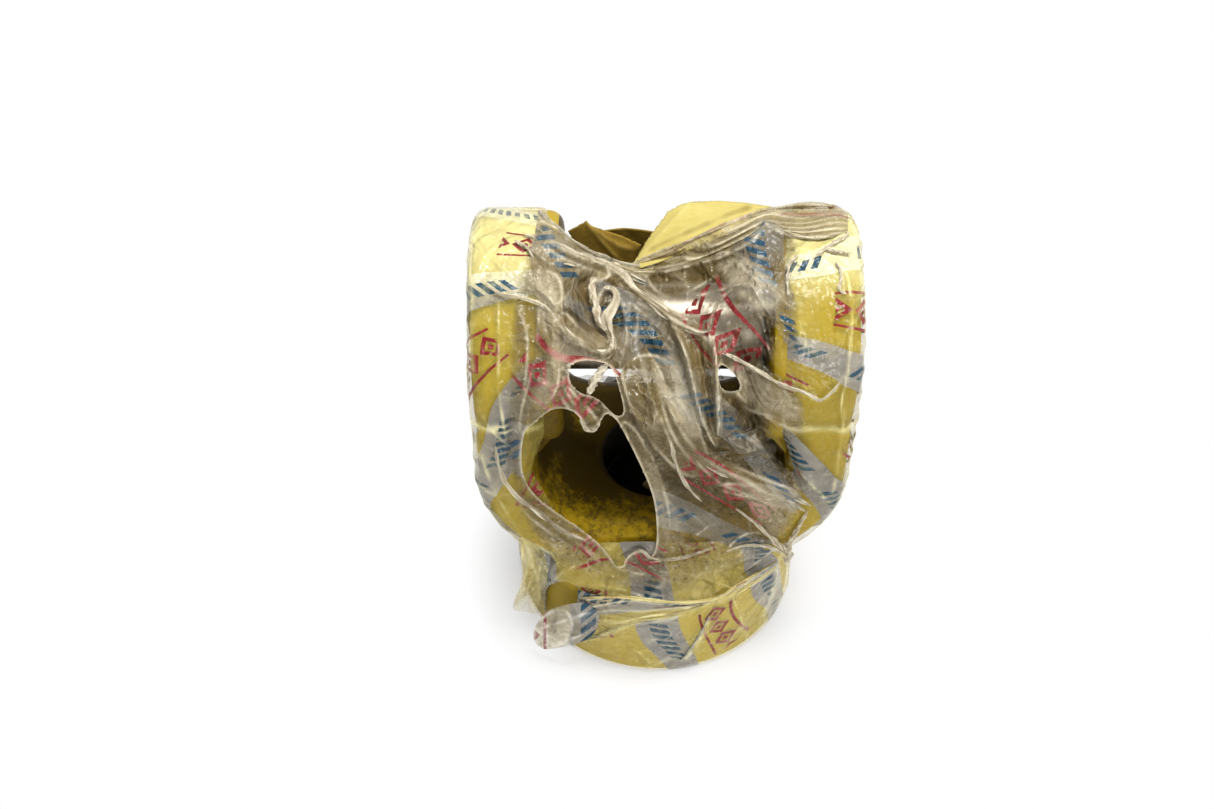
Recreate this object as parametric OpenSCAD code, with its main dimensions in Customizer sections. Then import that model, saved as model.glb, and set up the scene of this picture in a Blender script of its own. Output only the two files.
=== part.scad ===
// Rod fork for a fluid-power cylinder, still in its torn shrink film.
// Millimetres, Z up. Origin: rod axis at the foot of the boss.
// X runs along the clevis pin. The torn front of the film faces -Y.

/* [Fork bar] */
// width across the outer faces of the two ears
overall_w = 126; // [112:1:140]
// thickness of the bent bar
arm_t = 20; // [16:0.5:23]
// radius of the round eyes, half the depth of the bar
ear_r = 39; // [35:0.5:42]
// height of the pin axis above the foot
pin_z = 131; // [126:1:150]
// height of the slot floor above the foot
floor_z = 66; // [60:1:70]
// inner radius of the two bends
bend_r = 26; // [16:1:28]
// rounding of the outer edges of the bar
edge_r = 6; // [3:0.5:7]
// rounding of the inner edges of the bar
inner_edge_r = 8; // [3:0.5:9]
// how far each eye stands into the slot past its arm
eye_step = 9.5; // [6:0.5:12]
// rounding of the eye's rim toward the slot
eye_edge_r = 5; // [2:0.5:6]
// how far the arms stop below the pin axis
arm_drop = 10; // [6:1:16]

/* [Boss] */
// diameter of the turned boss
boss_d = 105; // [98:1:112]
// rounding of the boss's upper rim
boss_rim_r = 6; // [2:0.5:8]
// rounding of the boss's foot
boss_foot_r = 2; // [1:0.5:4]
// nominal diameter of the rod thread
thread_d = 42; // [36:1:48]
// pitch of the rod thread
thread_pitch = 2; // [1.5:0.5:3]
// chamfer at the mouth of the thread
thread_chamfer = 2.5; // [1:0.5:4]
// radial room round the rod in the slot floor
floor_hole_room = 0.6; // [0.3:0.1:1.5]
// chamfer of the hole in the slot floor
floor_chamfer = 2; // [1:0.5:3]

/* [Welds] */
// leg of the two beads along the boss
boss_bead = 5; // [3:0.5:7]
// half length of the beads along the boss
boss_bead_half = 15; // [8:1:16]
// leg of the bead under each eye
eye_bead = 5; // [3:0.5:7]
// angle that the bead under each eye covers
eye_bead_angle = 90; // [50:5:100]

/* [Clevis pin] */
// diameter of the pin
pin_d = 30; // [25:0.5:34]
// chamfer at the pin's ends
pin_chamfer = 1.5; // [0.5:0.5:3]
// radial running clearance between pin and bush
pin_play = 0.04; // [0.02:0.01:0.1]
// end float of the pin on each side
pin_float = 0.3; // [0.2:0.1:0.6]
// radius of the grease channel along the pin
grease_r = 2; // [1:0.5:3]
// radius of the cross holes that feed the bushes
feed_r = 1.5; // [1:0.5:2.5]
// radius of the well that sinks the grease nipple
well_r = 7.5; // [6.5:0.5:9]
// depth of the well
well_depth = 14; // [13:0.5:18]

/* [Bearing stack] */
// wall of the bush
bush_wall = 4; // [3:0.5:5]
// how far the bush stops short of the pin's end
bush_short = 0.6; // [0.3:0.1:2]
// width of the wiper seal
seal_w = 4.5; // [3:0.5:6]
// radial room between seal and pin
seal_play = 0.15; // [0.1:0.05:0.3]
// thickness of the end washer
washer_t = 2; // [1.5:0.5:3]
// radius of the access hole in the end washer
washer_hole_r = 9; // [7:0.5:11]
// radial room round the end washer
washer_play = 0.15; // [0.1:0.05:0.4]
// depth of the circlip below the ear's face
circlip_inset = 2.5; // [2:0.5:4]
// thickness of the circlip
circlip_t = 1.5; // [1.2:0.1:2]
// radial width of the circlip
circlip_b = 4; // [3:0.5:5]
// depth of the circlip groove
groove_depth = 1.25; // [0.8:0.05:1.8]
// room of the circlip in its groove
groove_play = 0.1; // [0.05:0.05:0.2]
// half angle of the circlip's gap
circlip_gap = 22; // [16:1:30]
// radius of the circlip's lugs
lug_r = 2.8; // [2:0.1:3.2]
// radius of the plier holes in the lugs
lug_hole_r = 1.25; // [0.8:0.05:1.5]

/* [Grease nipple] */
// radius of the nipple's threaded stub
stub_r = 3; // [2.5:0.5:4]
// length of the threaded stub
stub_len = 5; // [4:0.5:7]
// width across the flats of the nipple's hexagon
hex_af = 9; // [7:1:10]
// height of the hexagon
hex_h = 4; // [3:0.5:5]
// radius of the neck
neck_r = 2.5; // [2.4:0.1:3]
// height of the neck
neck_h = 3.5; // [3:0.5:5]
// radius of the gripped head
head_r = 3.3; // [2.8:0.1:3.6]
// height of the gripped head
head_h = 4; // [3:0.5:5]
// radius of the grease way through the nipple
way_r = 1.8; // [1.7:0.05:2]
// radius of the mouth that the ball closes
mouth_r = 1; // [0.8:0.05:1.1]
// depth of the mouth in front of the ball
mouth_h = 2; // [1:0.5:2.5]
// crimp that holds the spring at the back
crimp_h = 1; // [0.5:0.5:1.5]
// radius of the check ball
ball_r = 1.5; // [1.3:0.05:1.55]
// play in front of the ball and behind it
ball_play = 0.05; // [0.02:0.01:0.1]
// radius of the spring's coils, to the middle of the wire
coil_r = 1.2; // [1:0.05:1.3]
// radius of the spring's wire
wire_r = 0.2; // [0.15:0.05:0.25]
// turns of the spring
coil_turns = 6; // [4:1:8]

/* [Lock screw] */
// diameter of the lock screw
lock_d = 10; // [8:1:12]
// radial room of the screw and its pad in the hole
lock_play = 0.1; // [0.05:0.05:0.3]
// height of the screw's axis above the foot
lock_z = 22; // [16:1:28]
// depth of the screw's head below the side of the boss
lock_sink = 10.8; // [4:0.2:14]
// width across the flats of its socket
lock_af = 5; // [4:0.5:6]
// depth of its socket
lock_socket = 6; // [4:0.5:8]
// length of the brass pad
lock_pad_len = 5; // [3:0.5:7]
// how far the pad sits back from the thread
lock_setback = 0.8; // [0.3:0.1:2]

/* [Shrink film] */
// gap between the film and what it covers
film_gap = 0.3; // [0.2:0.1:0.6]
// thickness of the gathered film
film_t = 0.8; // [0.4:0.1:1.2]
// angle of the bends that the shoulder film covers
film_bend_angle = 45; // [20:5:50]
// angle left free where the ear film and the shoulder film part
film_seam = 0.5; // [0.2:0.1:1]
// height at which the boss film begins
film_foot = 1.5; // [0.5:0.5:4]
// tilt of the apron between the boss and the bar
apron_tilt = 48; // [40:1:55]
// half width of the apron
apron_half = 34; // [25:1:38]
// length of the apron past the boss's rim, down the slope
apron_down = 3; // [1:0.5:4]
// tilt of the film over the pin
over_tilt = 46; // [40:1:52]
// length of the film over the pin, down the front
over_down = 30; // [20:1:31]
// length of the film over the pin, up the back
over_up = 16; // [10:1:18]
// top of the front web below the pin axis
web_top = 13; // [12:0.5:18]
// lower edge of the front web below the slot floor
web_low = 4; // [2:0.5:5]
// torn edge of the front web at its top, left of the middle
web_tear_top = 17; // [8:1:25]
// torn edge of the front web at its foot, left of the middle
web_tear_low = 1; // [0:1:8]
// lower edge of the back web above the slot floor
back_low = 7; // [4:1:12]

/* [Film rope and tails] */
// radius of the gathered rope along the top
rope_r = 2.5; // [1.5:0.25:3]
// place of the rope behind the pin axis
rope_y = 10; // [8:0.5:11]
// lowest point of the rope left of the middle
rope_low_x = 11; // [5:1:16]
// width of the hanging tail
side_tail_w = 16; // [10:1:18]
// height of the hanging tail's upper edge below the slot floor
side_tail_top = 16; // [15:1:22]
// height of the hanging tail's lower edge above the foot
side_tail_low = 8; // [4:1:14]
// turn of the hanging tail about the rod axis
side_tail_turn = 40; // [32:1:48]
// length of the torn strip
strip_len = 36; // [24:1:40]
// width of the torn strip where it leaves the boss
strip_w = 14; // [8:1:16]
// width of the torn strip at its tip
strip_tip_w = 9; // [5:1:11]
// height of the strip's root above the foot
strip_z = 30; // [26:1:34]
// drop of the strip's tip below its root
strip_drop = 24; // [16:1:25]

/* [Packing paper] */
// thickness of the packing paper
paper_t = 0.6; // [0.3:0.1:1]
// gap between the paper and the eyes
paper_gap = 0.8; // [0.5:0.1:2]
// how far the back sheet lies inside the back of the eyes
back_sheet_in = 9; // [7:0.5:13]
// lower edge of the back sheet above the slot floor
back_sheet_low = 15; // [8:1:24]
// upper edge of the back sheet above the pin axis
back_sheet_top = 14; // [6:1:15]
// place of the left flap behind the pin axis
left_flap_y = 17; // [16:0.5:20]
// height of the left flap's foot above the pin axis
left_flap_foot = 13; // [8:1:16]
// height of the left flap's peak above its foot
left_flap_h = 19; // [12:1:20]
// width of the left flap
left_flap_w = 22; // [14:1:23]
// place of the right flap's front edge behind the pin axis
right_flap_y = 15; // [14:0.5:18]
// length of the right flap from front to back
right_flap_len = 21; // [14:1:24]
// height of the right flap's front edge above the pin axis
right_flap_z = 23; // [20:0.5:26]
// slope of the right flap from front to back
right_flap_slope = 6; // [0:1:14]
// left edge of the right flap, left of the middle
right_flap_left = 8; // [4:1:9]

/* [Hidden] */
$fn = 96;
half_w = overall_w / 2;
arm_in = half_w - arm_t;
eye_in = arm_in - eye_step;
under_z = floor_z - arm_t;
bend_x = arm_in - bend_r;
bend_z = floor_z + bend_r;
bead_drop = max(0, bend_z + ear_r + eye_bead - pin_z);
bead_toe = bend_r - sqrt(bend_r * bend_r - bead_drop * bead_drop);
boss_r = boss_d / 2;
thread_r = (thread_d - 1.0825 * thread_pitch) / 2;
floor_hole_r = thread_r + floor_hole_room;
pin_r = pin_d / 2;
bush_in_r = pin_r + pin_play;
bush_r = bush_in_r + bush_wall;
groove_out = half_w - circlip_inset;
groove_in = groove_out - circlip_t - groove_play;
washer_in = groove_in - washer_t;
pin_half = washer_in - pin_float;
bush_out = pin_half - bush_short;
bush_start = eye_in + seal_w;
feed_x = (bush_start + bush_out) / 2;
well_x = pin_half - well_depth;
nipple_top = hex_h + neck_h + head_h;
seat_x = nipple_top - mouth_h;
ball_x = seat_x - ball_play - ball_r;
spring_start = -stub_len + crimp_h + wire_r + ball_play;
spring_end = ball_x - ball_r - wire_r - ball_play;
lock_r = lock_d / 2;
lock_pad_y = thread_r + lock_setback;
lock_screw_y = lock_pad_y + lock_pad_len;
lock_len = boss_r - lock_sink - lock_screw_y;
film_in = film_gap;
film_out = film_gap + film_t;
apron_up = (boss_r - ear_r) / cos(apron_tilt);
rope_top_z = pin_z + sqrt(pow(ear_r + film_out + film_gap + rope_r, 2) - rope_y * rope_y);
rope_low_z = pin_z + pin_r + film_out + rope_r + film_gap;
rope_left_x = eye_in - rope_r - film_gap;
rope_left_z = pin_z + ear_r - rope_r;
rope_rise_x = eye_in - rope_r - 1.5;
rope_end_x = half_w - edge_r;
paper_half = eye_in - paper_gap;
back_sheet_y = ear_r - back_sheet_in;
cut = 1;

// Solid of revolution about X: the outline has the radius across and the place along X upward.
// It starts at +Y and goes over the top.
module about_x(angle = 360) {
    rotate([0, 90, 0])
        rotate([0, 0, 90])
            rotate_extrude(angle = angle)
                children();
}

// Quarter or less of a revolution about Y, from straight down toward +X.
module about_y(start, angle) {
    rotate([90, 0, 0])
        rotate([0, 0, start])
            rotate_extrude(angle = angle)
                children();
}

// What is outside the rounding of a corner at the origin, with the part toward -X and -Y.
module corner_waste(r) {
    translate([-r, -r])
        difference() {
            square(r + cut);
            circle(r);
        }
}

// Section of the bar: outer face toward +X, depth along Y.
module bar_section() {
    w = arm_t / 2;
    difference() {
        square([arm_t, 2 * ear_r], center = true);
        for (m = [0, 1])
            mirror([0, m]) {
                translate([w, ear_r])
                    corner_waste(edge_r);
                mirror([1, 0])
                    translate([w, ear_r])
                        corner_waste(inner_edge_r);
            }
    }
}

// One side of the bar: bend and straight arm, hollowed at its end to take the eye.
module bar_side() {
    translate([bend_x, 0, bend_z])
        about_y(-90, 90)
            translate([bend_r + arm_t / 2, 0])
                bar_section();
    difference() {
        translate([arm_in + arm_t / 2, 0, bend_z])
            linear_extrude(pin_z - arm_drop - bend_z)
                bar_section();
        translate([arm_in - cut, 0, pin_z])
            rotate([0, 90, 0])
                cylinder(r = ear_r, h = arm_t + 2 * cut);
    }
}

// Turned boss with the rod thread at its minor diameter.
module boss() {
    color([0.72, 0.62, 0.18])
        difference() {
            rotate_extrude()
                difference() {
                    square([boss_r, under_z]);
                    translate([boss_r, under_z])
                        corner_waste(boss_rim_r);
                    mirror([0, 1])
                        translate([boss_r, 0])
                            corner_waste(boss_foot_r);
                    translate([-cut, -cut])
                        square([thread_r + cut, under_z + 2 * cut]);
                    polygon([[0, -cut], [thread_r + thread_chamfer + cut, -cut],
                        [thread_r, thread_chamfer], [0, thread_chamfer]]);
                }
            translate([0, 0, lock_z])
                rotate([-90, 0, 0])
                    cylinder(r = lock_r, h = boss_r + cut);
        }
}

// Flat bar bent to a fork, with the hole for the rod.
module yoke_bar() {
    color([0.76, 0.66, 0.2])
        difference() {
            union() {
                translate([-bend_x, 0, floor_z - arm_t / 2])
                    rotate([0, 90, 0])
                        linear_extrude(2 * bend_x)
                            bar_section();
                bar_side();
                mirror([1, 0, 0])
                    bar_side();
            }
            translate([0, 0, under_z - cut])
                cylinder(r = floor_hole_r, h = arm_t + 2 * cut);
            translate([0, 0, floor_z - floor_chamfer])
                cylinder(r1 = floor_hole_r, r2 = floor_hole_r + floor_chamfer + cut,
                    h = floor_chamfer + cut);
        }
}

// Turned eye on the right arm, with the bore of the bearing stack and the circlip groove.
module eye_side() {
    translate([0, 0, pin_z])
        about_x()
            difference() {
                translate([bush_r, eye_in])
                    square([ear_r - bush_r, half_w - eye_in]);
                translate([ear_r, half_w])
                    corner_waste(edge_r);
                mirror([0, 1])
                    translate([ear_r, -eye_in])
                        corner_waste(eye_edge_r);
                translate([bush_r - cut, groove_in])
                    square([groove_depth + cut, groove_out - groove_in]);
            }
}

module right_eye() {
    color([0.7, 0.6, 0.18])
        eye_side();
}

module left_eye() {
    color([0.7, 0.6, 0.18])
        mirror([1, 0, 0])
            eye_side();
}

// Two beads that join the bar to the top of the boss.
module boss_welds() {
    bead_y = ear_r - edge_r;
    bead_z = under_z + edge_r;
    color([0.64, 0.55, 0.17])
        for (m = [0, 1])
            mirror([0, m, 0])
                translate([-boss_bead_half, 0, 0])
                    rotate([90, 0, 90])
                        linear_extrude(2 * boss_bead_half)
                            difference() {
                                polygon([[bead_y, under_z], [ear_r + boss_bead, under_z],
                                    [ear_r, bead_z], [bead_y, bead_z]]);
                                translate([bead_y, bead_z])
                                    circle(edge_r);
                            }
}

// Bead under the right eye, against the arm's inner face. Its toe clears the bend.
module eye_weld_side() {
    translate([0, 0, pin_z])
        rotate([-90 - eye_bead_angle / 2, 0, 0])
            about_x(eye_bead_angle)
                polygon([[ear_r, arm_in], [ear_r, arm_in - eye_bead],
                    [ear_r + eye_bead, arm_in - bead_toe]]);
}

module right_eye_weld() {
    color([0.64, 0.55, 0.17])
        eye_weld_side();
}

module left_eye_weld() {
    color([0.64, 0.55, 0.17])
        mirror([1, 0, 0])
            eye_weld_side();
}

// Plain bush pressed into the right eye.
module bush_side() {
    translate([0, 0, pin_z])
        about_x()
            translate([bush_in_r, bush_start])
                square([bush_wall, bush_out - bush_start]);
}

module right_bush() {
    color([0.7, 0.5, 0.24])
        bush_side();
}

module left_bush() {
    color([0.7, 0.5, 0.24])
        mirror([1, 0, 0])
            bush_side();
}

// Wiper that keeps dirt out of the right bush, with its lip toward the slot.
module wiper_side() {
    lip = seal_w / 3;
    translate([0, 0, pin_z])
        about_x()
            polygon([[pin_r + seal_play, eye_in], [pin_r + seal_play + lip, eye_in + lip],
                [bush_r, eye_in + lip], [bush_r, bush_start], [pin_r + seal_play, bush_start]]);
}

module right_wiper() {
    color([0.12, 0.12, 0.13])
        wiper_side();
}

module left_wiper() {
    color([0.12, 0.12, 0.13])
        mirror([1, 0, 0])
            wiper_side();
}

// Washer between the pin's end and the circlip on the right.
module end_washer_side() {
    translate([washer_in, 0, pin_z])
        rotate([0, 90, 0])
            difference() {
                cylinder(r = bush_r - washer_play, h = washer_t);
                translate([0, 0, -cut])
                    cylinder(r = washer_hole_r, h = washer_t + 2 * cut);
            }
}

module right_end_washer() {
    color([0.62, 0.63, 0.65])
        end_washer_side();
}

module left_end_washer() {
    color([0.62, 0.63, 0.65])
        mirror([1, 0, 0])
            end_washer_side();
}

// Internal circlip on the right, with its gap and lugs toward the top.
module circlip_side() {
    ring_out = bush_r + groove_depth - groove_play;
    ring_in = bush_r - circlip_b;
    lug_at = bush_r - circlip_b + lug_r / 2;
    lug_turn = circlip_gap + asin(lug_r / lug_at);
    translate([groove_out - circlip_t, 0, pin_z])
        rotate([90, 0, 90])
            linear_extrude(circlip_t)
                difference() {
                    union() {
                        difference() {
                            circle(ring_out);
                            circle(ring_in);
                            polygon([[0, 0], 2 * ring_out * [sin(circlip_gap), cos(circlip_gap)],
                                2 * ring_out * [-sin(circlip_gap), cos(circlip_gap)]]);
                        }
                        for (s = [-1, 1])
                            rotate([0, 0, s * lug_turn])
                                translate([0, lug_at])
                                    circle(lug_r, $fn = 48);
                    }
                    for (s = [-1, 1])
                        rotate([0, 0, s * lug_turn])
                            translate([0, lug_at])
                                circle(lug_hole_r, $fn = 32);
                }
}

module right_circlip() {
    color([0.2, 0.2, 0.22])
        circlip_side();
}

module left_circlip() {
    color([0.2, 0.2, 0.22])
        mirror([1, 0, 0])
            circlip_side();
}

// Pin with its grease channel, the two feed holes and the sunk place of the nipple.
module clevis_pin() {
    color([0.45, 0.45, 0.44])
        difference() {
            translate([0, 0, pin_z])
                about_x()
                    polygon([[0, -pin_half], [pin_r - pin_chamfer, -pin_half],
                        [pin_r, -pin_half + pin_chamfer], [pin_r, pin_half - pin_chamfer],
                        [pin_r - pin_chamfer, pin_half], [0, pin_half]]);
            translate([well_x, 0, pin_z])
                rotate([0, 90, 0])
                    cylinder(r = well_r, h = well_depth + cut);
            translate([well_x - stub_len - cut, 0, pin_z])
                rotate([0, 90, 0])
                    cylinder(r = stub_r, h = stub_len + 2 * cut, $fn = 48);
            translate([-feed_x, 0, pin_z])
                rotate([0, 90, 0])
                    cylinder(r = grease_r, h = well_x + feed_x, $fn = 48);
            for (s = [-1, 1])
                translate([s * feed_x, 0, pin_z])
                    cylinder(r = feed_r, h = pin_r + cut, $fn = 48);
        }
}

// Nipple in the pin's right end.
module grease_nipple() {
    color([0.75, 0.72, 0.6])
        translate([well_x, 0, pin_z])
            difference() {
                union() {
                    rotate([0, 90, 0])
                        cylinder(r = hex_af / 2 / cos(30), h = hex_h, $fn = 6);
                    about_x()
                        polygon([[0, -stub_len], [stub_r, -stub_len], [stub_r, 0], [neck_r, 0],
                            [neck_r, hex_h + neck_h], [head_r, hex_h + neck_h + head_h / 3],
                            [head_r, hex_h + neck_h + 2 * head_h / 3],
                            [mouth_r + 0.6, nipple_top], [0, nipple_top]]);
                }
                about_x()
                    polygon([[0, -stub_len - cut], [mouth_r, -stub_len - cut],
                        [mouth_r, -stub_len + crimp_h], [way_r, -stub_len + crimp_h],
                        [way_r, seat_x], [mouth_r, seat_x], [mouth_r, nipple_top + cut],
                        [0, nipple_top + cut]]);
            }
}

// Check ball that the spring presses against the mouth.
module nipple_ball() {
    color([0.7, 0.7, 0.72])
        translate([well_x + ball_x, 0, pin_z])
            sphere(ball_r, $fn = 48);
}

// Points of one ring of the spring's wire.
function wire_ring(a, x) = [for (k = [0:5])
    [x + wire_r * sin(60 * k), (coil_r + wire_r * cos(60 * k)) * cos(a),
        (coil_r + wire_r * cos(60 * k)) * sin(a)]];

// Spring behind the check ball, one unbroken wire.
module nipple_spring() {
    rings = 8 * coil_turns;
    pts = [for (i = [0:rings], p = wire_ring(45 * i,
        spring_start + (spring_end - spring_start) * i / rings)) p];
    sides = [for (i = [0:rings - 1], k = [0:5])
        let (a = 6 * i + k, b = 6 * i + (k + 1) % 6)
            each [[a, a + 6, b], [b, a + 6, b + 6]]];
    ends = [for (k = [1:4]) each [[0, k, k + 1], [6 * rings, 6 * rings + k + 1, 6 * rings + k]]];
    color([0.5, 0.5, 0.52])
        translate([well_x, 0, pin_z])
            polyhedron(points = pts, faces = concat(sides, ends), convexity = 8);
}

// Brass pad that the lock screw presses on the rod.
module lock_pad() {
    color([0.78, 0.62, 0.28])
        translate([0, lock_pad_y, lock_z])
            rotate([-90, 0, 0])
                cylinder(r = lock_r - lock_play, h = lock_pad_len);
}

// Socket screw behind the pad.
module lock_screw() {
    color([0.22, 0.22, 0.24])
        translate([0, lock_screw_y, lock_z])
            rotate([-90, 0, 0])
                difference() {
                    cylinder(r = lock_r - lock_play, h = lock_len);
                    translate([0, 0, lock_len - lock_socket])
                        cylinder(r = lock_af / 2 / cos(30), h = lock_socket + cut, $fn = 6);
                }
}

// Outline of an arm and its ear from the side, grown by g, with Y across and the height upward.
module arm_outline(g) {
    translate([0, pin_z])
        circle(ear_r + g);
    translate([-ear_r - g, bend_z])
        square([2 * (ear_r + g), pin_z - bend_z]);
}

// Arm and ear grown by g, from the slot side out past the outer face.
module arm_form(g, slot_side) {
    translate([slot_side, 0, 0])
        rotate([90, 0, 90])
            linear_extrude(half_w + g - slot_side)
                arm_outline(g);
}

// Film on the right ear and its arm, open toward the slot.
module film_ear_side() {
    difference() {
        arm_form(film_out, arm_in);
        arm_form(film_in, arm_in - cut);
        translate([0, -2 * ear_r, 0])
            cube([overall_w, 4 * ear_r, bend_z]);
    }
}

module film_right_ear() {
    color([0.8, 0.78, 0.66])
        film_ear_side();
}

module film_left_ear() {
    color([0.8, 0.78, 0.66])
        mirror([1, 0, 0])
            film_ear_side();
}

// Film round the outside of the right bend.
module film_shoulder_side() {
    translate([bend_x, 0, bend_z])
        about_y(-film_bend_angle, film_bend_angle - film_seam)
            polygon([[bend_r, -ear_r - film_out], [bend_r + arm_t + film_out, -ear_r - film_out],
                [bend_r + arm_t + film_out, ear_r + film_out], [bend_r, ear_r + film_out],
                [bend_r, ear_r + film_in], [bend_r + arm_t + film_in, ear_r + film_in],
                [bend_r + arm_t + film_in, -ear_r - film_in], [bend_r, -ear_r - film_in]]);
}

module film_right_shoulder() {
    color([0.79, 0.77, 0.65])
        film_shoulder_side();
}

module film_left_shoulder() {
    color([0.79, 0.77, 0.65])
        mirror([1, 0, 0])
            film_shoulder_side();
}

// Film round the side of the boss.
module film_boss_band() {
    color([0.82, 0.79, 0.66])
        translate([0, 0, film_foot])
            rotate_extrude()
                translate([boss_r + film_in, 0])
                    square([film_t, under_z - boss_rim_r - film_foot]);
}

// Film that slopes from the rim of the boss up to the front of the bar.
module apron_side() {
    intersection() {
        translate([-apron_half, -(boss_r - boss_rim_r), under_z - boss_rim_r])
            rotate([apron_tilt, 0, 0])
                translate([0, -apron_down, boss_rim_r + film_in])
                    cube([2 * apron_half, apron_down + apron_up, film_t]);
        cylinder(r = boss_r + film_out, h = 2 * pin_z);
        translate([-half_w, -boss_d, 0])
            cube([overall_w, boss_d - ear_r - film_in, floor_z]);
    }
}

module film_front_apron() {
    color([0.78, 0.76, 0.64])
        apron_side();
}

module film_back_apron() {
    color([0.78, 0.76, 0.64])
        mirror([0, 1, 0])
            apron_side();
}

// Film across the front of the slot, right of the tear.
module film_front_web() {
    web_side = arm_in - film_gap;
    chord = bend_r * cos(film_bend_angle) - film_gap;
    color([0.75, 0.74, 0.66])
        translate([0, -ear_r - film_in, 0])
            rotate([90, 0, 0])
                linear_extrude(film_t)
                    polygon([[-web_tear_low, floor_z - web_low], [bend_x, floor_z - web_low],
                        [bend_x + chord, bend_z - bend_r * sin(film_bend_angle)],
                        [web_side, bend_z], [web_side, pin_z - web_top],
                        [-web_tear_top, pin_z - web_top]]);
}

// Film drawn over the pin, from the front web up to the rope.
module film_over_web() {
    over_half = eye_in - film_gap;
    color([0.77, 0.75, 0.66])
        translate([-over_half, 0, pin_z])
            rotate([over_tilt, 0, 0])
                translate([0, -over_down, pin_r + film_out])
                    cube([2 * over_half, over_down + over_up, film_t]);
}

// Film across the back of the slot, torn off above the floor.
module film_back_web() {
    web_side = arm_in - film_gap;
    color([0.75, 0.74, 0.66])
        translate([0, ear_r + film_out, 0])
            rotate([90, 0, 0])
                linear_extrude(film_t)
                    polygon([[-bend_x, floor_z + back_low], [bend_x, floor_z + back_low],
                        [web_side, bend_z], [web_side, pin_z - web_top],
                        [-web_side, pin_z - web_top], [-web_side, bend_z]]);
}

// Ring of the rope at a point of its route, in the plane that halves the bend.
function rope_ring(p, before, after) =
    let (u = p - before, v = after - p, d = u / norm(u) + v / norm(v), n = [-d[2], 0, d[0]] / norm(d),
        w = rope_r / (norm(d) / 2))
        [for (k = [0:11]) p + w * cos(30 * k) * n + [0, rope_r * sin(30 * k), 0]];

// Gathered edge of the film: from the left ear down to the pin and up over the right ear.
module film_rope() {
    route = [[-rope_left_x, rope_y, rope_left_z], [-rope_low_x, rope_y, rope_low_z],
        [rope_rise_x, rope_y, rope_top_z], [rope_end_x, rope_y, rope_top_z]];
    last = len(route) - 1;
    first_step = route[1] - route[0];
    last_step = route[last] - route[last - 1];
    line = concat([route[0] - first_step], route, [route[last] + last_step]);
    pts = [for (i = [0:last], p = rope_ring(line[i + 1], line[i], line[i + 2])) p];
    sides = [for (i = [0:last - 1], k = [0:11])
        let (a = 12 * i + k, b = 12 * i + (k + 1) % 12)
            each [[a, b, a + 12], [b, b + 12, a + 12]]];
    ends = [[for (k = [0:11]) 11 - k], [for (k = [0:11]) 12 * last + k]];
    color([0.85, 0.83, 0.74])
        polyhedron(points = pts, faces = concat(sides, ends), convexity = 4);
}

// Loose film that hangs beside the boss under the left bend.
module film_side_tail() {
    color([0.8, 0.78, 0.7])
        rotate([0, 0, -side_tail_turn])
            translate([-boss_r - film_out - film_gap - side_tail_w, -film_t / 2, side_tail_low])
                cube([side_tail_w, film_t, floor_z - side_tail_top - side_tail_low]);
}

// Torn strip that stands off the front of the boss to the left.
module film_torn_strip() {
    turn = 15;
    color([0.83, 0.8, 0.7])
        rotate([0, 0, -turn])
            translate([0, -boss_r - film_out - film_gap, strip_z])
                rotate([90, 0, 0])
                    linear_extrude(film_t)
                        polygon([[0, strip_w / 2], [0, -strip_w / 2],
                            [-strip_len, -strip_drop],
                            [-strip_len, -strip_drop + strip_tip_w]]);
}

// Packing paper behind the pin.
module paper_back_sheet() {
    color([0.55, 0.42, 0.16])
        translate([-paper_half, back_sheet_y, floor_z + back_sheet_low])
            cube([2 * paper_half, paper_t, pin_z + back_sheet_top - floor_z - back_sheet_low]);
}

// Standing flap of the paper on the left.
module paper_left_flap() {
    flap_z = pin_z + left_flap_foot;
    color([0.5, 0.37, 0.14])
        translate([0, left_flap_y, 0])
            rotate([90, 0, 0])
                linear_extrude(paper_t)
                    polygon([[-paper_half, flap_z], [left_flap_w - paper_half, flap_z],
                        [left_flap_w - paper_half, flap_z + left_flap_h / 2],
                        [left_flap_w / 4 - paper_half, flap_z + left_flap_h],
                        [-paper_half, flap_z + 0.8 * left_flap_h]]);
}

// Turned-back flap of the paper on the right.
module paper_right_flap() {
    color([0.85, 0.72, 0.3])
        translate([-right_flap_left, right_flap_y, pin_z + right_flap_z])
            rotate([right_flap_slope, 0, 0])
                cube([right_flap_left + paper_half, right_flap_len, paper_t]);
}

boss();
yoke_bar();
left_eye();
right_eye();
boss_welds();
left_eye_weld();
right_eye_weld();
left_bush();
right_bush();
left_wiper();
right_wiper();
left_end_washer();
right_end_washer();
left_circlip();
right_circlip();
clevis_pin();
grease_nipple();
nipple_ball();
nipple_spring();
lock_pad();
lock_screw();
film_left_ear();
film_right_ear();
film_left_shoulder();
film_right_shoulder();
film_boss_band();
film_front_apron();
film_back_apron();
film_front_web();
film_over_web();
film_back_web();
film_rope();
film_side_tail();
film_torn_strip();
paper_back_sheet();
paper_left_flap();
paper_right_flap();
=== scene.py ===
import math

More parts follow.
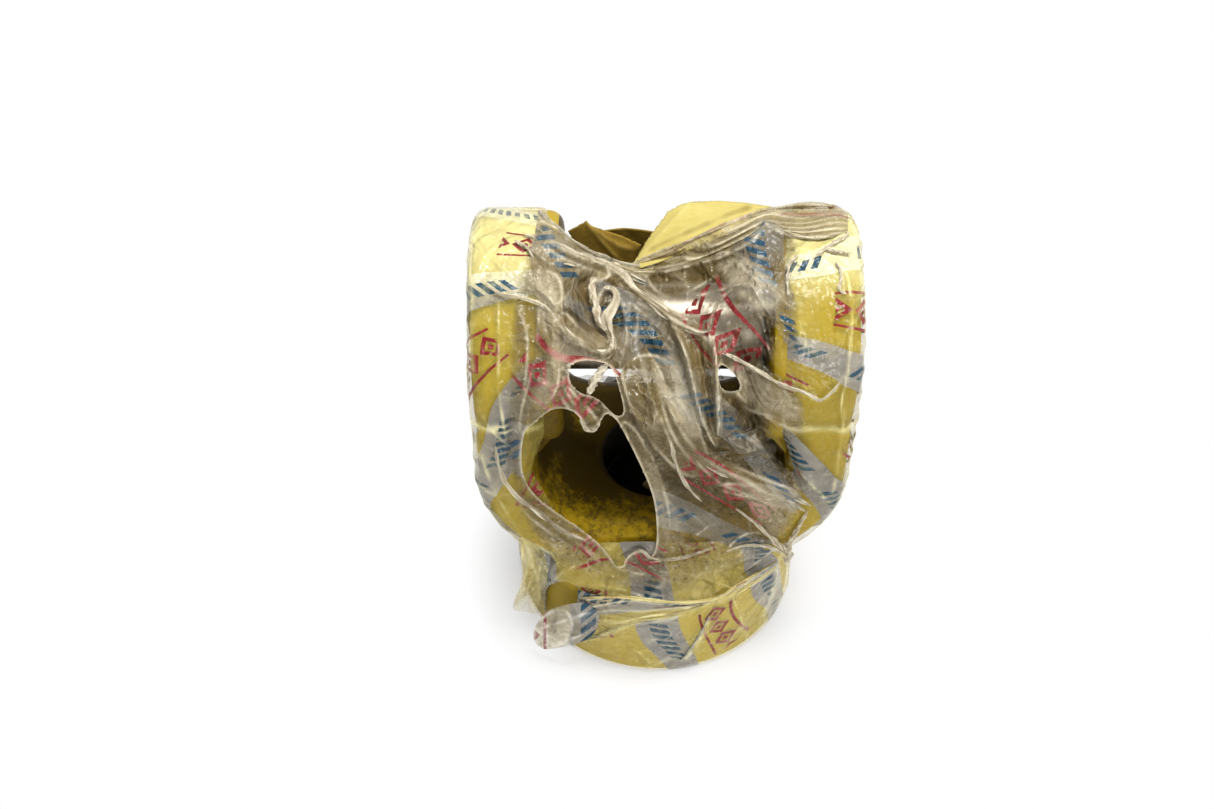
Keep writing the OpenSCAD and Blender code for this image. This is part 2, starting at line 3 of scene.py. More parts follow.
import bmesh
import bpy
import numpy as np
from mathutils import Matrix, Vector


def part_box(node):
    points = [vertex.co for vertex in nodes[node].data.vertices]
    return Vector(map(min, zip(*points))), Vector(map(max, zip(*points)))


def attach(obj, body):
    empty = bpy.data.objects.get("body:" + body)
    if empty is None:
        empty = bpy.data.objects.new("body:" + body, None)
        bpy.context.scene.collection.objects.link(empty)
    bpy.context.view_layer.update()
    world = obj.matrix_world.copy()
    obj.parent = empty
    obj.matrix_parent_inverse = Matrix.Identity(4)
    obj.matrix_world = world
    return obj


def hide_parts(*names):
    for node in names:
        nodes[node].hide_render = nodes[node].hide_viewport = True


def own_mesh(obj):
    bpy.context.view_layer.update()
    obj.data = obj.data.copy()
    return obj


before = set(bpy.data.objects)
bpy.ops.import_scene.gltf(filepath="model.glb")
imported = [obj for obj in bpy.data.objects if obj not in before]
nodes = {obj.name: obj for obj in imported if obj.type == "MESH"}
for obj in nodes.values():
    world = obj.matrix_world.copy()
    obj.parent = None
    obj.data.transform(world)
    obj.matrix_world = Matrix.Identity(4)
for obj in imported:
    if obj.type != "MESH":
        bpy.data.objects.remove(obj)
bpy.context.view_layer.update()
scene = bpy.context.scene
mm = 0.001
print("frame loaded:", len(nodes), "nodes")

# the photograph's camera, in millimetres and in pixels of its 1214 x 809 frame
photoView = dict(place=(-18.9, -410.7, 536.0), tilt=42.7, lens=50.0, sensor=36.0, width=1214, height=809)
focal = photoView["lens"] / photoView["sensor"] * photoView["width"]
eye = np.array(photoView["place"])
pitch = math.radians(90 - photoView["tilt"])
ahead = np.array([0.0, math.cos(pitch), -math.sin(pitch)])
upward = np.array([0.0, math.sin(pitch), math.cos(pitch)])

cameraData = bpy.data.cameras.new("photoCamera")
cameraData.lens = photoView["lens"]
cameraData.sensor_width = photoView["sensor"]
camera = bpy.data.objects.new("photoCamera", cameraData)
camera.location = eye * mm
camera.rotation_euler = (math.radians(photoView["tilt"]), 0, 0)
scene.collection.objects.link(camera)
scene.camera = camera


# pixel of a point: its offsets from the eye across and upward over its depth, times the focal length
def toPixel(p):
    q = p - eye
    depth = q @ ahead
    u = photoView["width"] / 2 + focal * q[..., 0] / depth
    return u, photoView["height"] / 2 - focal * (q @ upward) / depth


# ray of a pixel: straight ahead plus its share across and upward
def pixelRay(u, v):
    ray = ahead + ((photoView["height"] / 2 - v) / focal)[..., None] * upward
    ray[..., 0] = (u - photoView["width"] / 2) / focal
    return ray


# point of a pixel's ray on the plane of constant y
def onDepth(u, v, y):
    ray = pixelRay(u, v)
    return eye + ray * ((y - eye[1]) / ray[..., 1])[..., None]


# point of a pixel's ray on the level z
def onLevel(u, v, z):
    ray = pixelRay(u, v)
    return eye + ray * ((z - eye[2]) / ray[..., 2])[..., None]


# corner cutting: each leg keeps its points at a quarter and at three quarters, several times over
def soften(points, rounds=2, closed=False):
    p = np.array(points, float)
    for _ in range(rounds):
        a, b = (p, np.roll(p, -1, 0)) if closed else (p[:-1], p[1:])
        cut = np.stack([0.75 * a + 0.25 * b, 0.25 * a + 0.75 * b], 1).reshape(-1, p.shape[1])
        p = cut if closed else np.vstack([p[:1], cut, p[-1:]])
    return p


# line of straight legs with its points spread evenly along its length
def evenly(line, count):
    leg = np.r_[0, np.cumsum(np.linalg.norm(np.diff(line, axis=0), axis=1))]
    at = np.linspace(0, leg[-1], count)
    return np.stack([np.interp(at, leg, line[:, k]) for k in range(line.shape[1])], 1)


# nearest place on a line of straight legs: distance, share of its length, and the place itself
def nearestOn(u, v, line):
    best = np.full(np.shape(u), 1e9)
    share, nearU, nearV = best * 0, best * 0, best * 0
    legs = np.hypot(*(line[1:] - line[:-1]).T)
    start, total = 0.0, legs.sum()
    for a, b, leg in zip(line[:-1], line[1:], legs):
        t = np.clip(((u - a[0]) * (b[0] - a[0]) + (v - a[1]) * (b[1] - a[1])) / max(leg, 1e-6) ** 2, 0, 1)
        pu, pv = a[0] + t * (b[0] - a[0]), a[1] + t * (b[1] - a[1])
        d = np.hypot(u - pu, v - pv)
        closer = d < best
        best = np.where(closer, d, best)
        share = np.where(closer, (start + t * leg) / total, share)
        nearU, nearV = np.where(closer, pu, nearU), np.where(closer, pv, nearV)
        start += leg
    return best, share, nearU, nearV


# inside a ring: an odd number of its legs is crossed on the way to the right
def insideOf(u, v, ring):
    crossings = np.zeros(np.shape(u), int)
    for a, b in zip(ring, np.roll(ring, -1, 0)):
        spans = (a[1] > v) != (b[1] > v)
        rise = b[1] - a[1] if b[1] != a[1] else 1e-9
        crossings += spans & (u < a[0] + (v - a[1]) * (b[0] - a[0]) / rise)
    return crossings % 2 == 1


# ring whose first point comes again at its end
def closedLine(ring):
    return np.vstack([ring, ring[:1]])


# distance to a ring, above zero inside it, with the share of the ring's length at the nearest place
def offRing(u, v, ring):
    d, share, _, _ = nearestOn(u, v, closedLine(ring))
    return np.where(insideOf(u, v, ring), d, -d), share


# cosine and sine of an angle in degrees
def cosSin(degrees):
    return math.cos(math.radians(degrees)), math.sin(math.radians(degrees))


# points moved towards the eye by a height
def lifted(p, height):
    toEye = eye - p
    return p + np.asarray(height)[..., None] * toEye / np.linalg.norm(toEye, axis=-1, keepdims=True)


# folds: each is half a bell and half a sharp crest across its line, fading at both ends; its whiteness,
# partly crease whitening and partly a painted highlight, is a narrow bell that comes and goes along the
# line, and painted shade lies beside it, or on it where it isn't white; gives the height in mm, the
# whiteness and the painted shade
def foldRelief(u, v, folds):
    height, white, dirtAndShade = (np.zeros(np.shape(u)) for _ in range(3))
    for k, (line, rise, width, pale) in enumerate(folds):
        d, share, _, _ = nearestOn(u, v, soften(line))
        ends = np.minimum(1, 0.2 + 6 * np.minimum(share, 1 - share))
        height += rise * ends * (0.5 * np.exp(-(d / width) ** 2) + 0.5 * np.exp(-d / (0.6 * width)))
        broken = 0.58 + 0.25 * np.sin(share * 17 + 2.1 * k) + 0.17 * np.sin(share * 41 + 1.3 * k)
        white = np.maximum(white, pale * ends * broken * np.exp(-(d / (0.36 * width)) ** 2))
        foldShade = np.exp(-((d / width - 1.1) / 0.55) ** 2) if pale else np.exp(-(d / width) ** 2)
        dirtAndShade = np.maximum(dirtAndShade, ends * (0.35 + 0.5 * broken if pale else 0.9 + 0.4 * broken) * foldShade)
    return height, white, dirtAndShade


# creases of crumpled film: sharp crests of a few crossing waves, bent by slower ones, from 0 to 1
def crinkle(p, size, seed, waves=4):
    rng = np.random.default_rng(seed)
    bent = p + 0.35 * size * np.sin(p @ rng.normal(0, 1.1 / size, (3, 3)) + rng.uniform(0, 6, 3))
    total = 0
    for _ in range(waves):
        way = rng.normal(size=3)
        way = way / np.linalg.norm(way)
        wave = np.sin(np.pi * rng.uniform(0.6, 1.3) / size * (bent @ way) + rng.uniform(0, 6))
        total = total + (1 - np.abs(wave)) ** 3
    return total / waves


# slow swell: the mean of a few sine waves in random directions, from -1 to 1
def swell(p, size, seed, waves=5):
    rng = np.random.default_rng(seed)
    ways = rng.normal(0, 2.2 / size, (p.shape[-1], waves))
    return np.sin(p @ ways + rng.uniform(0, 6, waves)).mean(-1)


# map swayed by slow swells, so that its print runs unevenly
def swayed(mapping, p, amount, size, seed):
    return mapping + amount * np.stack([swell(p, size, seed), swell(p, size, seed + 1)], -1)


# outward direction of a grid of points: cross product of its two slopes
def gridNormals(p):
    n = np.cross(np.gradient(p, axis=0), np.gradient(p, axis=1))
    return n / np.maximum(np.linalg.norm(n, axis=-1, keepdims=True), 1e-9)


# faces of a grid: each cell is one four-sided face, kept where the mask says so; marks are values at its
# points, and a closed grid joins its last column to its first
def gridPart(points, mapping, marks, keep=None, closed=False, flip=False):
    rows, cols = points.shape[:2]
    index = np.arange(rows * cols).reshape(rows, cols)
    corner = np.arange(mapping[..., 0].size).reshape(mapping.shape[:2])
    if closed:
        index = np.hstack([index, index[:, :1]])
    cells = [np.stack([g[:-1, :-1], g[1:, :-1], g[1:, 1:], g[:-1, 1:]], -1) for g in (index, corner)]
    if keep is not None:
        cells = [c[keep] for c in cells]
    faces, corners = (c.reshape(-1, 4) for c in cells)
    if flip:
        faces, corners = faces[:, ::-1], corners[:, ::-1]
    used, flat = np.unique(faces, return_inverse=True)
    marks = {k: np.broadcast_to(m, (rows, cols)).ravel()[used] for k, m in marks.items()}
    return points.reshape(-1, 3)[used], flat.reshape(-1, 4), mapping.reshape(-1, 2)[corners.ravel()], marks


# marks of a plain point: folded white (partly a painted highlight), share of film left at its rim, doubled,
# and dirt with painted shade
markDefaults = dict(fold=0.0, fade=1.0, layer=0.0, dirtAndShade=0.0)


# one object from several grids, in metres, with its map and its marks
def makePiece(name, parts, finish, replaced=(), body="fork"):
    shift = np.cumsum([0] + [len(p[0]) for p in parts])
    points = np.vstack([p[0] for p in parts]) * mm
    faces = np.vstack([p[1] + s for p, s in zip(parts, shift)])
    mesh = bpy.data.meshes.new(name)
    mesh.from_pydata(points, [], faces)
    mapLayer = mesh.uv_layers.new(name="sheetMap")
    mapLayer.data.foreach_set("uv", (np.vstack([p[2] for p in parts]) * mm).ravel())
    for mark, usual in markDefaults.items():
        layer = mesh.attributes.new(mark, "FLOAT", "POINT")
        values = [p[3].get(mark, np.full(len(p[0]), usual)) for p in parts]
        layer.data.foreach_set("value", np.concatenate(values))
    mesh.polygons.foreach_set("use_smooth", np.ones(len(faces), bool))
    mesh.materials.append(finish)
    welded = bmesh.new()  # closes the poles and the seams where points meet
    welded.from_mesh(mesh)
    bmesh.ops.remove_doubles(welded, verts=welded.verts, dist=1e-6)
    welded.to_mesh(mesh)
    welded.free()
    obj = bpy.data.objects.new(name, mesh)
    scene.collection.objects.link(obj)
    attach(obj, body)
    if replaced:
        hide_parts(*replaced)
    corners = points[faces]
    spans = np.cross(corners[:, 2] - corners[:, 0], corners[:, 3] - corners[:, 1])
    area = 0.5 * np.linalg.norm(spans, axis=1).sum()
    print(f"{name}: {len(faces)} faces, {area * 1e4:.1f} cm2")
    return obj


# doubled film: within each outline the sheet lies in a second layer, with a pale line along its edge,
# partly a painted highlight; an amount below zero is clearer film, with a soft edge
def layerRelief(u, v, layers):
    layer, thin, white = (np.zeros(u.shape) for _ in range(3))
    for outline, amount in layers:
        d, share = offRing(u, v, soften(outline, 2, True))
        inside = np.clip(0.5 + d / sheetLook["layerEdge" if amount > 0 else "clearEdge"], 0, 1)
        layer = np.maximum(layer, amount * inside)
        thin = np.minimum(thin, amount * inside)
        if amount > 0:
            line = np.exp(-(d / sheetLook["layerLine"]) ** 2)
            white = np.maximum(white, (0.3 + 0.3 * np.sin(share * 23)) * line)
    return layer + thin, white


# map of a flat sheet at a pixel: turned by an angle and moved across, in mm
def turnedMap(turn, shift=0):
    c, s = cosSin(turn)
    scale = sheetLook["mapScale"]
    return lambda u, v: np.stack([scale * (c * u - s * v) + shift, scale * (s * u + c * v)], -1)


# widths in pixels, map scale in mm to a pixel, wave sizes in mm or, for drawn ridges, in pixels
sheetLook = dict(pull=0.62, cutEdge=2.0, layerEdge=3.0, clearEdge=14.0, layerLine=1.6, milkyEdge=9.0,
                 mapScale=0.33, creaseSize=9.0, swellSize=14.0,
                 drawnSize=15.0, drawnStretch=0.16, drawnRise=2.0, drawnWhite=0.7)


# sheet cut to an outline in pixels: a grid of pixels whose near points move onto the cut lines; folds,
# layers, creases and drawn ridges along one direction lift it towards the eye, whitened on their crests,
# partly as a painted highlight, with painted shade along the folds; milky areas are paler
def pixelSheet(place, outline, holes, step, relief, mapOf, seed, fadeWidth=0, bumpy=(0.6, 0.35), rounds=2,
               layers=(), pales=(), draw=None):
    look = sheetLook
    ring = soften(outline, rounds, True)
    cuts = [soften(h, 1, True) for h in holes]
    low, high = ring.min(0) - step, ring.max(0) + step
    u, v = np.meshgrid(np.arange(low[0], high[0], step), np.arange(low[1], high[1], step), indexing="ij")
    for line in [ring] + cuts:
        d, _, nearU, nearV = nearestOn(u, v, closedLine(line))
        near = d < look["pull"] * step
        u, v = np.where(near, nearU, u), np.where(near, nearV, v)
    midU, midV = ((k[:-1, :-1] + k[1:, 1:] + k[1:, :-1] + k[:-1, 1:]) / 4 for k in (u, v))
    keep = insideOf(midU, midV, ring)
    edge = np.zeros(u.shape)
    for cut in cuts:
        keep &= ~insideOf(midU, midV, cut)
        edge = np.maximum(edge, np.exp(-(offRing(u, v, cut)[0] / look["cutEdge"]) ** 2))
    base = place(u, v)
    height, white, dirtAndShade = foldRelief(u, v, relief)
    layer, layerWhite = layerRelief(u, v, layers)
    rim = np.abs(offRing(u, v, ring)[0])
    fade = np.clip(rim / fadeWidth, 0, 1) if fadeWidth else np.ones(u.shape)
    creases = crinkle(base, look["creaseSize"], seed)
    if draw is not None:
        c, s = cosSin(draw)
        turned = np.stack([c * u - s * v, look["drawnStretch"] * (s * u + c * v), 0 * u], -1)
        drawn = crinkle(turned, look["drawnSize"], seed + 3, 3)
        height = height + look["drawnRise"] * drawn
        white = np.maximum(white, look["drawnWhite"] * drawn ** 3)
    lift = 1.4 * height + 0.8 * edge + 0.8 * layer + bumpy[0] * creases
    lift = lift + bumpy[1] * swell(base, look["swellSize"], seed + 1)
    fold = np.clip(np.maximum(np.maximum(white, layerWhite), 0.7 * edge) + 0.15 * creases ** 2, 0, 1)
    for area, amount in pales:
        inside = np.clip(0.5 + offRing(u, v, soften(area, 2, True))[0] / look["milkyEdge"], 0, 1)
        fold = np.maximum(fold, amount * inside * (0.8 + 0.6 * creases))
    marks = dict(fold=fold, fade=fade, layer=layer, dirtAndShade=dirtAndShade)
    return gridPart(lifted(base, lift), mapOf(u, v), marks, keep, False, True)


# sizes in mm
strandLook = dict(step=0.9, fewest=24, mapPitch=2.5, mapShift=7.0)


# gathered strand: a lobed ring carried along a path, turning as it goes, thin at both ends, paler on its
# lobes, partly as a painted highlight
def strandPart(path, thick, seed, lobes=3, flatness=0.75, twist=3.0, pale=0.8, across=16):
    rng = np.random.default_rng(seed)
    length = np.linalg.norm(np.diff(path, axis=0), axis=1).sum()
    path = evenly(soften(path, 3), max(strandLook["fewest"], int(length / strandLook["step"])))
    run = np.linspace(0, 1, len(path))[:, None]
    way = np.gradient(path, axis=0)
    way /= np.linalg.norm(way, axis=1, keepdims=True)
    side = np.cross(way, eye - path)
    side /= np.linalg.norm(side, axis=1, keepdims=True)
    out = np.cross(side, way)
    a = np.linspace(0, 2 * np.pi, across, endpoint=False)[None, :]
    turn = twist * 6.28 * run + rng.uniform(0, 6)
    body = 1 + 0.28 * np.cos(lobes * a + turn) + 0.15 * np.cos((lobes + 2) * a - 1.7 * turn)
    knots = 1 + 0.18 * np.sin(run * rng.uniform(25, 40) + rng.uniform(0, 6))
    thick = np.atleast_1d(thick)
    width = np.interp(run[:, 0], np.linspace(0, 1, len(thick)), thick)[:, None]
    r = width * body * knots * np.sqrt(np.clip(np.minimum(run, 1 - run) * 14, 0, 1))
    points = (path[:, None] + (r * np.cos(a))[..., None] * side[:, None]
              + (flatness * r * np.sin(a))[..., None] * out[:, None])
    around = np.linspace(0, 2 * np.pi * strandLook["mapPitch"], across + 1)[None, :]
    around = around + seed * strandLook["mapShift"]
    mapping = np.stack(np.broadcast_arrays(around, run * len(path) * strandLook["step"]), -1)
    fold = np.clip(pale * (body - 0.55) * (0.75 + 0.25 * np.sin(run * 31 + seed)), 0, 1)
    return gridPart(points, mapping, dict(fold=fold), None, True)


# inputs of a node: sockets are linked, values are set
def feed(node, inputs):
    for key, value in inputs.items():
        if isinstance(value, bpy.types.NodeSocket):
            node.id_data.links.new(value, node.inputs[key])
        else:
            node.inputs[key].default_value = value


# node with its settings and inputs
def addNode(tree, kind, inputs=None, **settings):
    made = tree.nodes.new(kind)
    for key, value in settings.items():
        setattr(made, key, value)
    feed(made, inputs or {})
    return made


# one operation on two values, in the tree of the one that is a socket
def calc(operation, a, b=0.0, clamp=False):
    tree = (a if isinstance(a, bpy.types.NodeSocket) else b).id_data
    return addNode(tree, "ShaderNodeMath", {0: a, 1: b}, operation=operation, use_clamp=clamp).outputs[0]


# one operation carried through several values in turn
def chain(operation, values):
    total = values[0]
    for value in values[1:]:
        total = calc(operation, total, value)
    return total


# product of all values
def times(*values):
    return chain("MULTIPLY", values)


# sum of all values
def plus(*values):
    return chain("ADD", values)


# largest of all values
def most(*values):
    return chain("MAXIMUM", values)


# 1 where a is less than b, and 0 elsewhere
def below(a, b):
    return calc("LESS_THAN", a, b)


# distance between two values: the size of their difference
def apart(a, b):
    return calc("ABSOLUTE", calc("SUBTRACT", a, b))


# place within a repeat: the fraction of a value over its pitch
def inPitch(value, pitch):
    return calc("FRACT", calc("DIVIDE", value, pitch))


# value carried from one range to 0 and 1, without overshoot
def ramp(value, low, high):
    return addNode(value.id_data, "ShaderNodeMapRange", {0: value, 1: low, 2: high}, clamp=True).outputs[0]


# colour between two, by a factor
def tone(factor, a, b):
    a, b = (k if isinstance(k, bpy.types.NodeSocket) else (*k, 1) for k in (a, b))
    return addNode(factor.id_data, "ShaderNodeMix", {0: factor, 6: a, 7: b}, data_type="RGBA").outputs[2]


# noise on Object coordinates
def grain(coords, scale, detail=4.0, rough=0.55, distortion=0.0):
    inputs = {"Vector": coords, "Scale": scale, "Detail": detail, "Roughness": rough,
              "Distortion": distortion}
    return addNode(coords.id_data, "ShaderNodeTexNoise", inputs).outputs[0]


# coordinates stretched along their axes
def stretched(coords, scale):
    return addNode(coords.id_data, "ShaderNodeMapping", {"Vector": coords, "Scale": scale}).outputs[0]


# the three parts of a vector
def partsOf(vector):
    return addNode(vector.id_data, "ShaderNodeSeparateXYZ", {0: vector}).outputs


# length of a vector with two parts
def lengthOf(a, b):
    flat = addNode(a.id_data, "ShaderNodeCombineXYZ", {0: a, 1: b}).outputs[0]
    return addNode(a.id_data, "ShaderNodeVectorMath", {0: flat}, operation="LENGTH").outputs["Value"]


# mark carried by the points of a piece
def markOf(tree, name):
    return addNode(tree, "ShaderNodeAttribute", attribute_name=name).outputs["Fac"]


# surface slope of a height, by its strength and depth
def bumpOf(height, strength, depth):
    return addNode(height.id_data, "ShaderNodeBump",
                   {"Height": height, "Strength": strength, "Distance": depth}).outputs[0]


# empty material with its shader node and its Object coordinates
def newFinish(name):
    made = bpy.data.materials.new(name)
    made.use_nodes = True
    tree = made.node_tree
    coords = addNode(tree, "ShaderNodeTexCoord").outputs["Object"]
    return made, tree, tree.nodes["Principled BSDF"], coords


# sizes in metres; the shares say how much of a pitch is inked
inkLook = dict(pitch=0.041, bandWidth=0.0125, slant=0.8, dash=0.0039, dashShare=0.58, dashReach=0.2,
               dashGroup=0.039, groupShare=0.66, diamond=0.00975, ring=0.0036, ringWidth=0.001, dot=0.0013,
               border=0.0062, borderWidth=0.0005, markGroup=0.066, markShare=0.48, rowShift=0.3961,
               blue=(0.008, 0.043, 0.072), red=(0.175, 0.009, 0.011), opacity=0.85)


# print on film by place on the sheet's map: grey bands at a pitch, slanted blue dashes in groups along
# their middle, and rows of red diamonds with borders between them, all worn in grains; gives band, blue
# and red
def filmPrint(tree, coords, ink):
    k = inkLook
    across, along, _ = partsOf(addNode(tree, "ShaderNodeUVMap", uv_map="sheetMap").outputs[0])
    cell = calc("DIVIDE", across, k["pitch"])
    inCell = times(calc("FRACT", cell), k["pitch"])
    band = below(inCell, k["bandWidth"])
    slant = plus(along, times(inCell, k["slant"]))
    dashes = times(below(inPitch(slant, k["dash"]), k["dashShare"]),
                   below(inPitch(slant, k["dashGroup"]), k["groupShare"]))
    blue = times(dashes, below(apart(inCell, k["bandWidth"] / 2), k["bandWidth"] * k["dashReach"]))
    centre = apart(inCell, (k["pitch"] + k["bandWidth"]) / 2)
    reach = plus(centre, times(apart(inPitch(along, k["diamond"]), 0.5), k["diamond"]))
    diamonds = most(below(apart(reach, k["ring"]), k["ringWidth"]), below(reach, k["dot"]))
    border = below(apart(centre, k["border"]), k["borderWidth"])
    shift = times(calc("FLOOR", cell), k["rowShift"])
    place = calc("FRACT", plus(calc("DIVIDE", along, k["markGroup"]), shift))
    red = times(most(diamonds, border), below(place, k["markShare"]))
    worn = times(ramp(grain(coords, 330.0, 3.0), 0.22, 0.36), ink)
    return times(band, ink), times(blue, worn), times(red, worn)


# wrinkles as pairs of scale and bend; dust is the tone of the film's dust and also of the painted shade
# along its folds
filmLook = dict(wrinkles=((38.0, 1.6), (95.0, 1.1), (230.0, 0.6)), wrinkleDepth=0.007, index=2.1,
                dust=(0.11, 0.075, 0.026), specks=(0.07, 0.048, 0.014), gloss=0.08, thinnest=0.04)


# printed film: sharp wrinkles where slow noise crosses its middle; white along folds and wrinkles, partly
# crease whitening and partly a painted highlight, and white as a painted sheen on edges seen along the
# sheet;
# dusty and specked, with painted shade beside and in the folds; denser with each of these, and less glossy
# in return, so that the reflection of thin and dense film is alike
def filmFinish(name, haze, bandHaze, tint, creased, roughness, dirtAndShade, ink=1.0, paleTone=(0.80, 0.75, 0.62),
               layerTone=(0.50, 0.455, 0.34), bandTone=(0.28, 0.27, 0.25)):
    made, tree, shader, coords = newFinish(name)
    band, blue, red = filmPrint(tree, coords, ink)
    crests = [apart(grain(coords, scale, 2.0, 0.5, bend), 0.5) for scale, bend in filmLook["wrinkles"]]
    lines = most(ramp(crests[0], 0.012, 0.0), times(ramp(crests[1], 0.02, 0.0), 0.6))
    lines = times(lines, ramp(grain(coords, 45.0, 2.0), 0.46, 0.64), creased)
    fold, fade, layer, foldShade = (markOf(tree, k) for k in ("fold", "fade", "layer", "dirtAndShade"))
    # painted sheen: the film turns whiter where the sheet is seen edge-on
    facing = addNode(tree, "ShaderNodeLayerWeight", {"Blend": 0.5}).outputs["Facing"]
    edge = times(ramp(facing, 0.6, 1.0), 0.6)
    pale = calc("MAXIMUM", fold, most(times(lines, 0.4), edge), True)
    cloud = grain(coords, 60.0, 5.0, 0.6)
    dirtPlusShade = ramp(grain(coords, 34.0, 7.0, 0.68), 0.46, 0.71)
    # painted shade beside and in the folds joins the dust here
    dirtPlusShade = most(dirtPlusShade, times(foldShade, ramp(grain(coords, 150.0, 5.0), 0.3, 0.55)))
    specks = times(ramp(grain(coords, 620.0, 3.0, 0.6), 0.56, 0.68),
                   ramp(grain(coords, 52.0, 4.0), 0.38, 0.60))
    colour = tone(band, tint, bandTone)
    colour = tone(calc("MULTIPLY", layer, 1.2, True), colour, layerTone)
    colour = tone(times(dirtPlusShade, dirtAndShade), colour, filmLook["dust"])
    colour = tone(times(specks, 0.8 * dirtAndShade), colour, filmLook["specks"])
    colour = tone(blue, colour, inkLook["blue"])
    colour = tone(red, colour, inkLook["red"])
    colour = tone(times(pale, 0.85), colour, paleTone)
    alpha = plus(times(plus(times(cloud, 0.8), 0.6), haze), times(band, bandHaze), layer,
                 times(dirtPlusShade, 0.5 * dirtAndShade), times(specks, 0.9 * dirtAndShade),
                 times(most(blue, red), inkLook["opacity"]))
    alpha = calc("ADD", alpha, times(pale, 0.6), True)
    gloss = calc("DIVIDE", filmLook["gloss"], plus(alpha, filmLook["thinnest"]), True)
    sunk = plus(crests[0], times(crests[1], 0.5), times(crests[2], 0.22))
    feed(shader, {"Base Color": colour, "Alpha": times(alpha, fade), "IOR": filmLook["index"],
                  "Specular IOR Level": gloss,
                  "Roughness": plus(times(cloud, 0.15), times(dirtPlusShade, 0.2), roughness - 0.05),
                  "Normal": bumpOf(times(sunk, -1.0), 1.0, filmLook["wrinkleDepth"] * creased)})
    return made


# places in metres; pairs are the two ends of a ramp
paintLook = dict(fresh=(0.41, 0.292, 0.018), deep=(0.30, 0.20, 0.012), dusty=(0.42, 0.31, 0.055),
                 grime=(0.05, 0.035, 0.012), bore=(0.018, 0.016, 0.012), boreEdge=(0.0217, 0.0205),
                 slotTone=(0.50, 0.315, 0.006), slotShade=(0.024, 0.013, 0.0015), slotHalf=(0.0505, 0.0435),
                 slotLow=0.05, slotFrom=(-0.021, -0.004), slotBack=0.0375, gritReach=0.04, earFoot=0.092,
                 axis=0.131, gloss=0.06)


# yellow paint: slow change of tone, pale dust, dark specks of grime and an orange-peel skin; golden in the
# slot, with grit, and painted shade that deepens towards the slot's back and lies on the left side below
# the pin;
# in the bore, by distance from its axis, bare steel darkened to near black, partly as painted shade
def paintFinish():
    made, _, shader, coords = newFinish("yellowPaint")
    k = paintLook
    x, y, z = partsOf(coords)
    colour = tone(ramp(grain(coords, 26.0), 0.35, 0.7), k["deep"], k["fresh"])
    dust = ramp(grain(coords, 70.0, 8.0, 0.7), 0.5, 0.78)
    colour = tone(times(dust, 0.35), colour, k["dusty"])
    specks = ramp(grain(coords, 900.0, 3.0, 0.6), 0.62, 0.72)
    patch = ramp(grain(coords, 45.0, 3.0), 0.4, 0.58)
    colour = tone(times(specks, patch, 0.8), colour, k["grime"])
    # painted shade below the pin, on the left side only
    belowPin = times(calc("GREATER_THAN", z, k["earFoot"]), below(z, k["axis"]), below(x, 0.0))
    offAxis = lengthOf(y, calc("SUBTRACT", z, k["axis"]))
    faces = most(below(offAxis, k["slotBack"]), below(z, k["earFoot"]), belowPin)
    inSlot = times(ramp(calc("ABSOLUTE", x), *k["slotHalf"]), calc("GREATER_THAN", z, k["slotLow"]),
                   faces, below(y, k["slotBack"]))
    grit = grain(coords, 330.0, 7.0, 0.8)
    # painted shade in the slot, deeper towards its back
    slotShadeAmount = plus(times(ramp(plus(y, times(grit, k["gritReach"])), *k["slotFrom"]), 0.8), 0.2)
    slotShadeAmount = times(most(slotShadeAmount, times(belowPin, 0.9)), inSlot,
                   ramp(grain(coords, 60.0, 6.0, 0.7), 0.15, 0.42))
    colour = tone(times(inSlot, 0.7), colour, k["slotTone"])
    colour = tone(times(slotShadeAmount, 0.94), colour, k["slotShade"])
    colour = tone(times(ramp(grit, 0.5, 0.62), inSlot, 0.7), colour, k["grime"])
    # the bore's bare steel, kept near black, partly as painted shade
    colour = tone(ramp(lengthOf(x, y), *k["boreEdge"]), colour, k["bore"])
    skin = plus(grain(coords, 420.0, 3.0), times(specks, 0.3))
    feed(shader, {"Base Color": colour, "Specular IOR Level": k["gloss"],
                  "Roughness": plus(times(dust, 0.35), 0.42), "Normal": bumpOf(skin, 0.35, 0.0004)})
    return made


# turned or ground metal: rings by stretched noise along one axis, stains and fine scratches
def metalFinish(name, pale, dark, roughness, stretch, metallic=1.0):
    made, _, shader, coords = newFinish(name)
    lines = grain(stretched(coords, stretch), 60.0, 5.0, 0.65)
    stain = ramp(grain(coords, 90.0, 5.0, 0.6), 0.45, 0.7)
    colour = tone(ramp(lines, 0.3, 0.7), dark, pale)
    colour = tone(times(stain, 0.5), colour, [0.5 * k for k in dark])
    feed(shader, {"Base Color": colour, "Metallic": metallic, "Normal": bumpOf(lines, 0.25, 0.0002),
                  "Roughness": plus(times(stain, 0.2), times(lines, 0.1), roughness)})
    return made


paperLook = dict(fibre=(1.0, 6.0, 2.0), crease=(0.72, 0.6, 0.26), gloss=0.2)


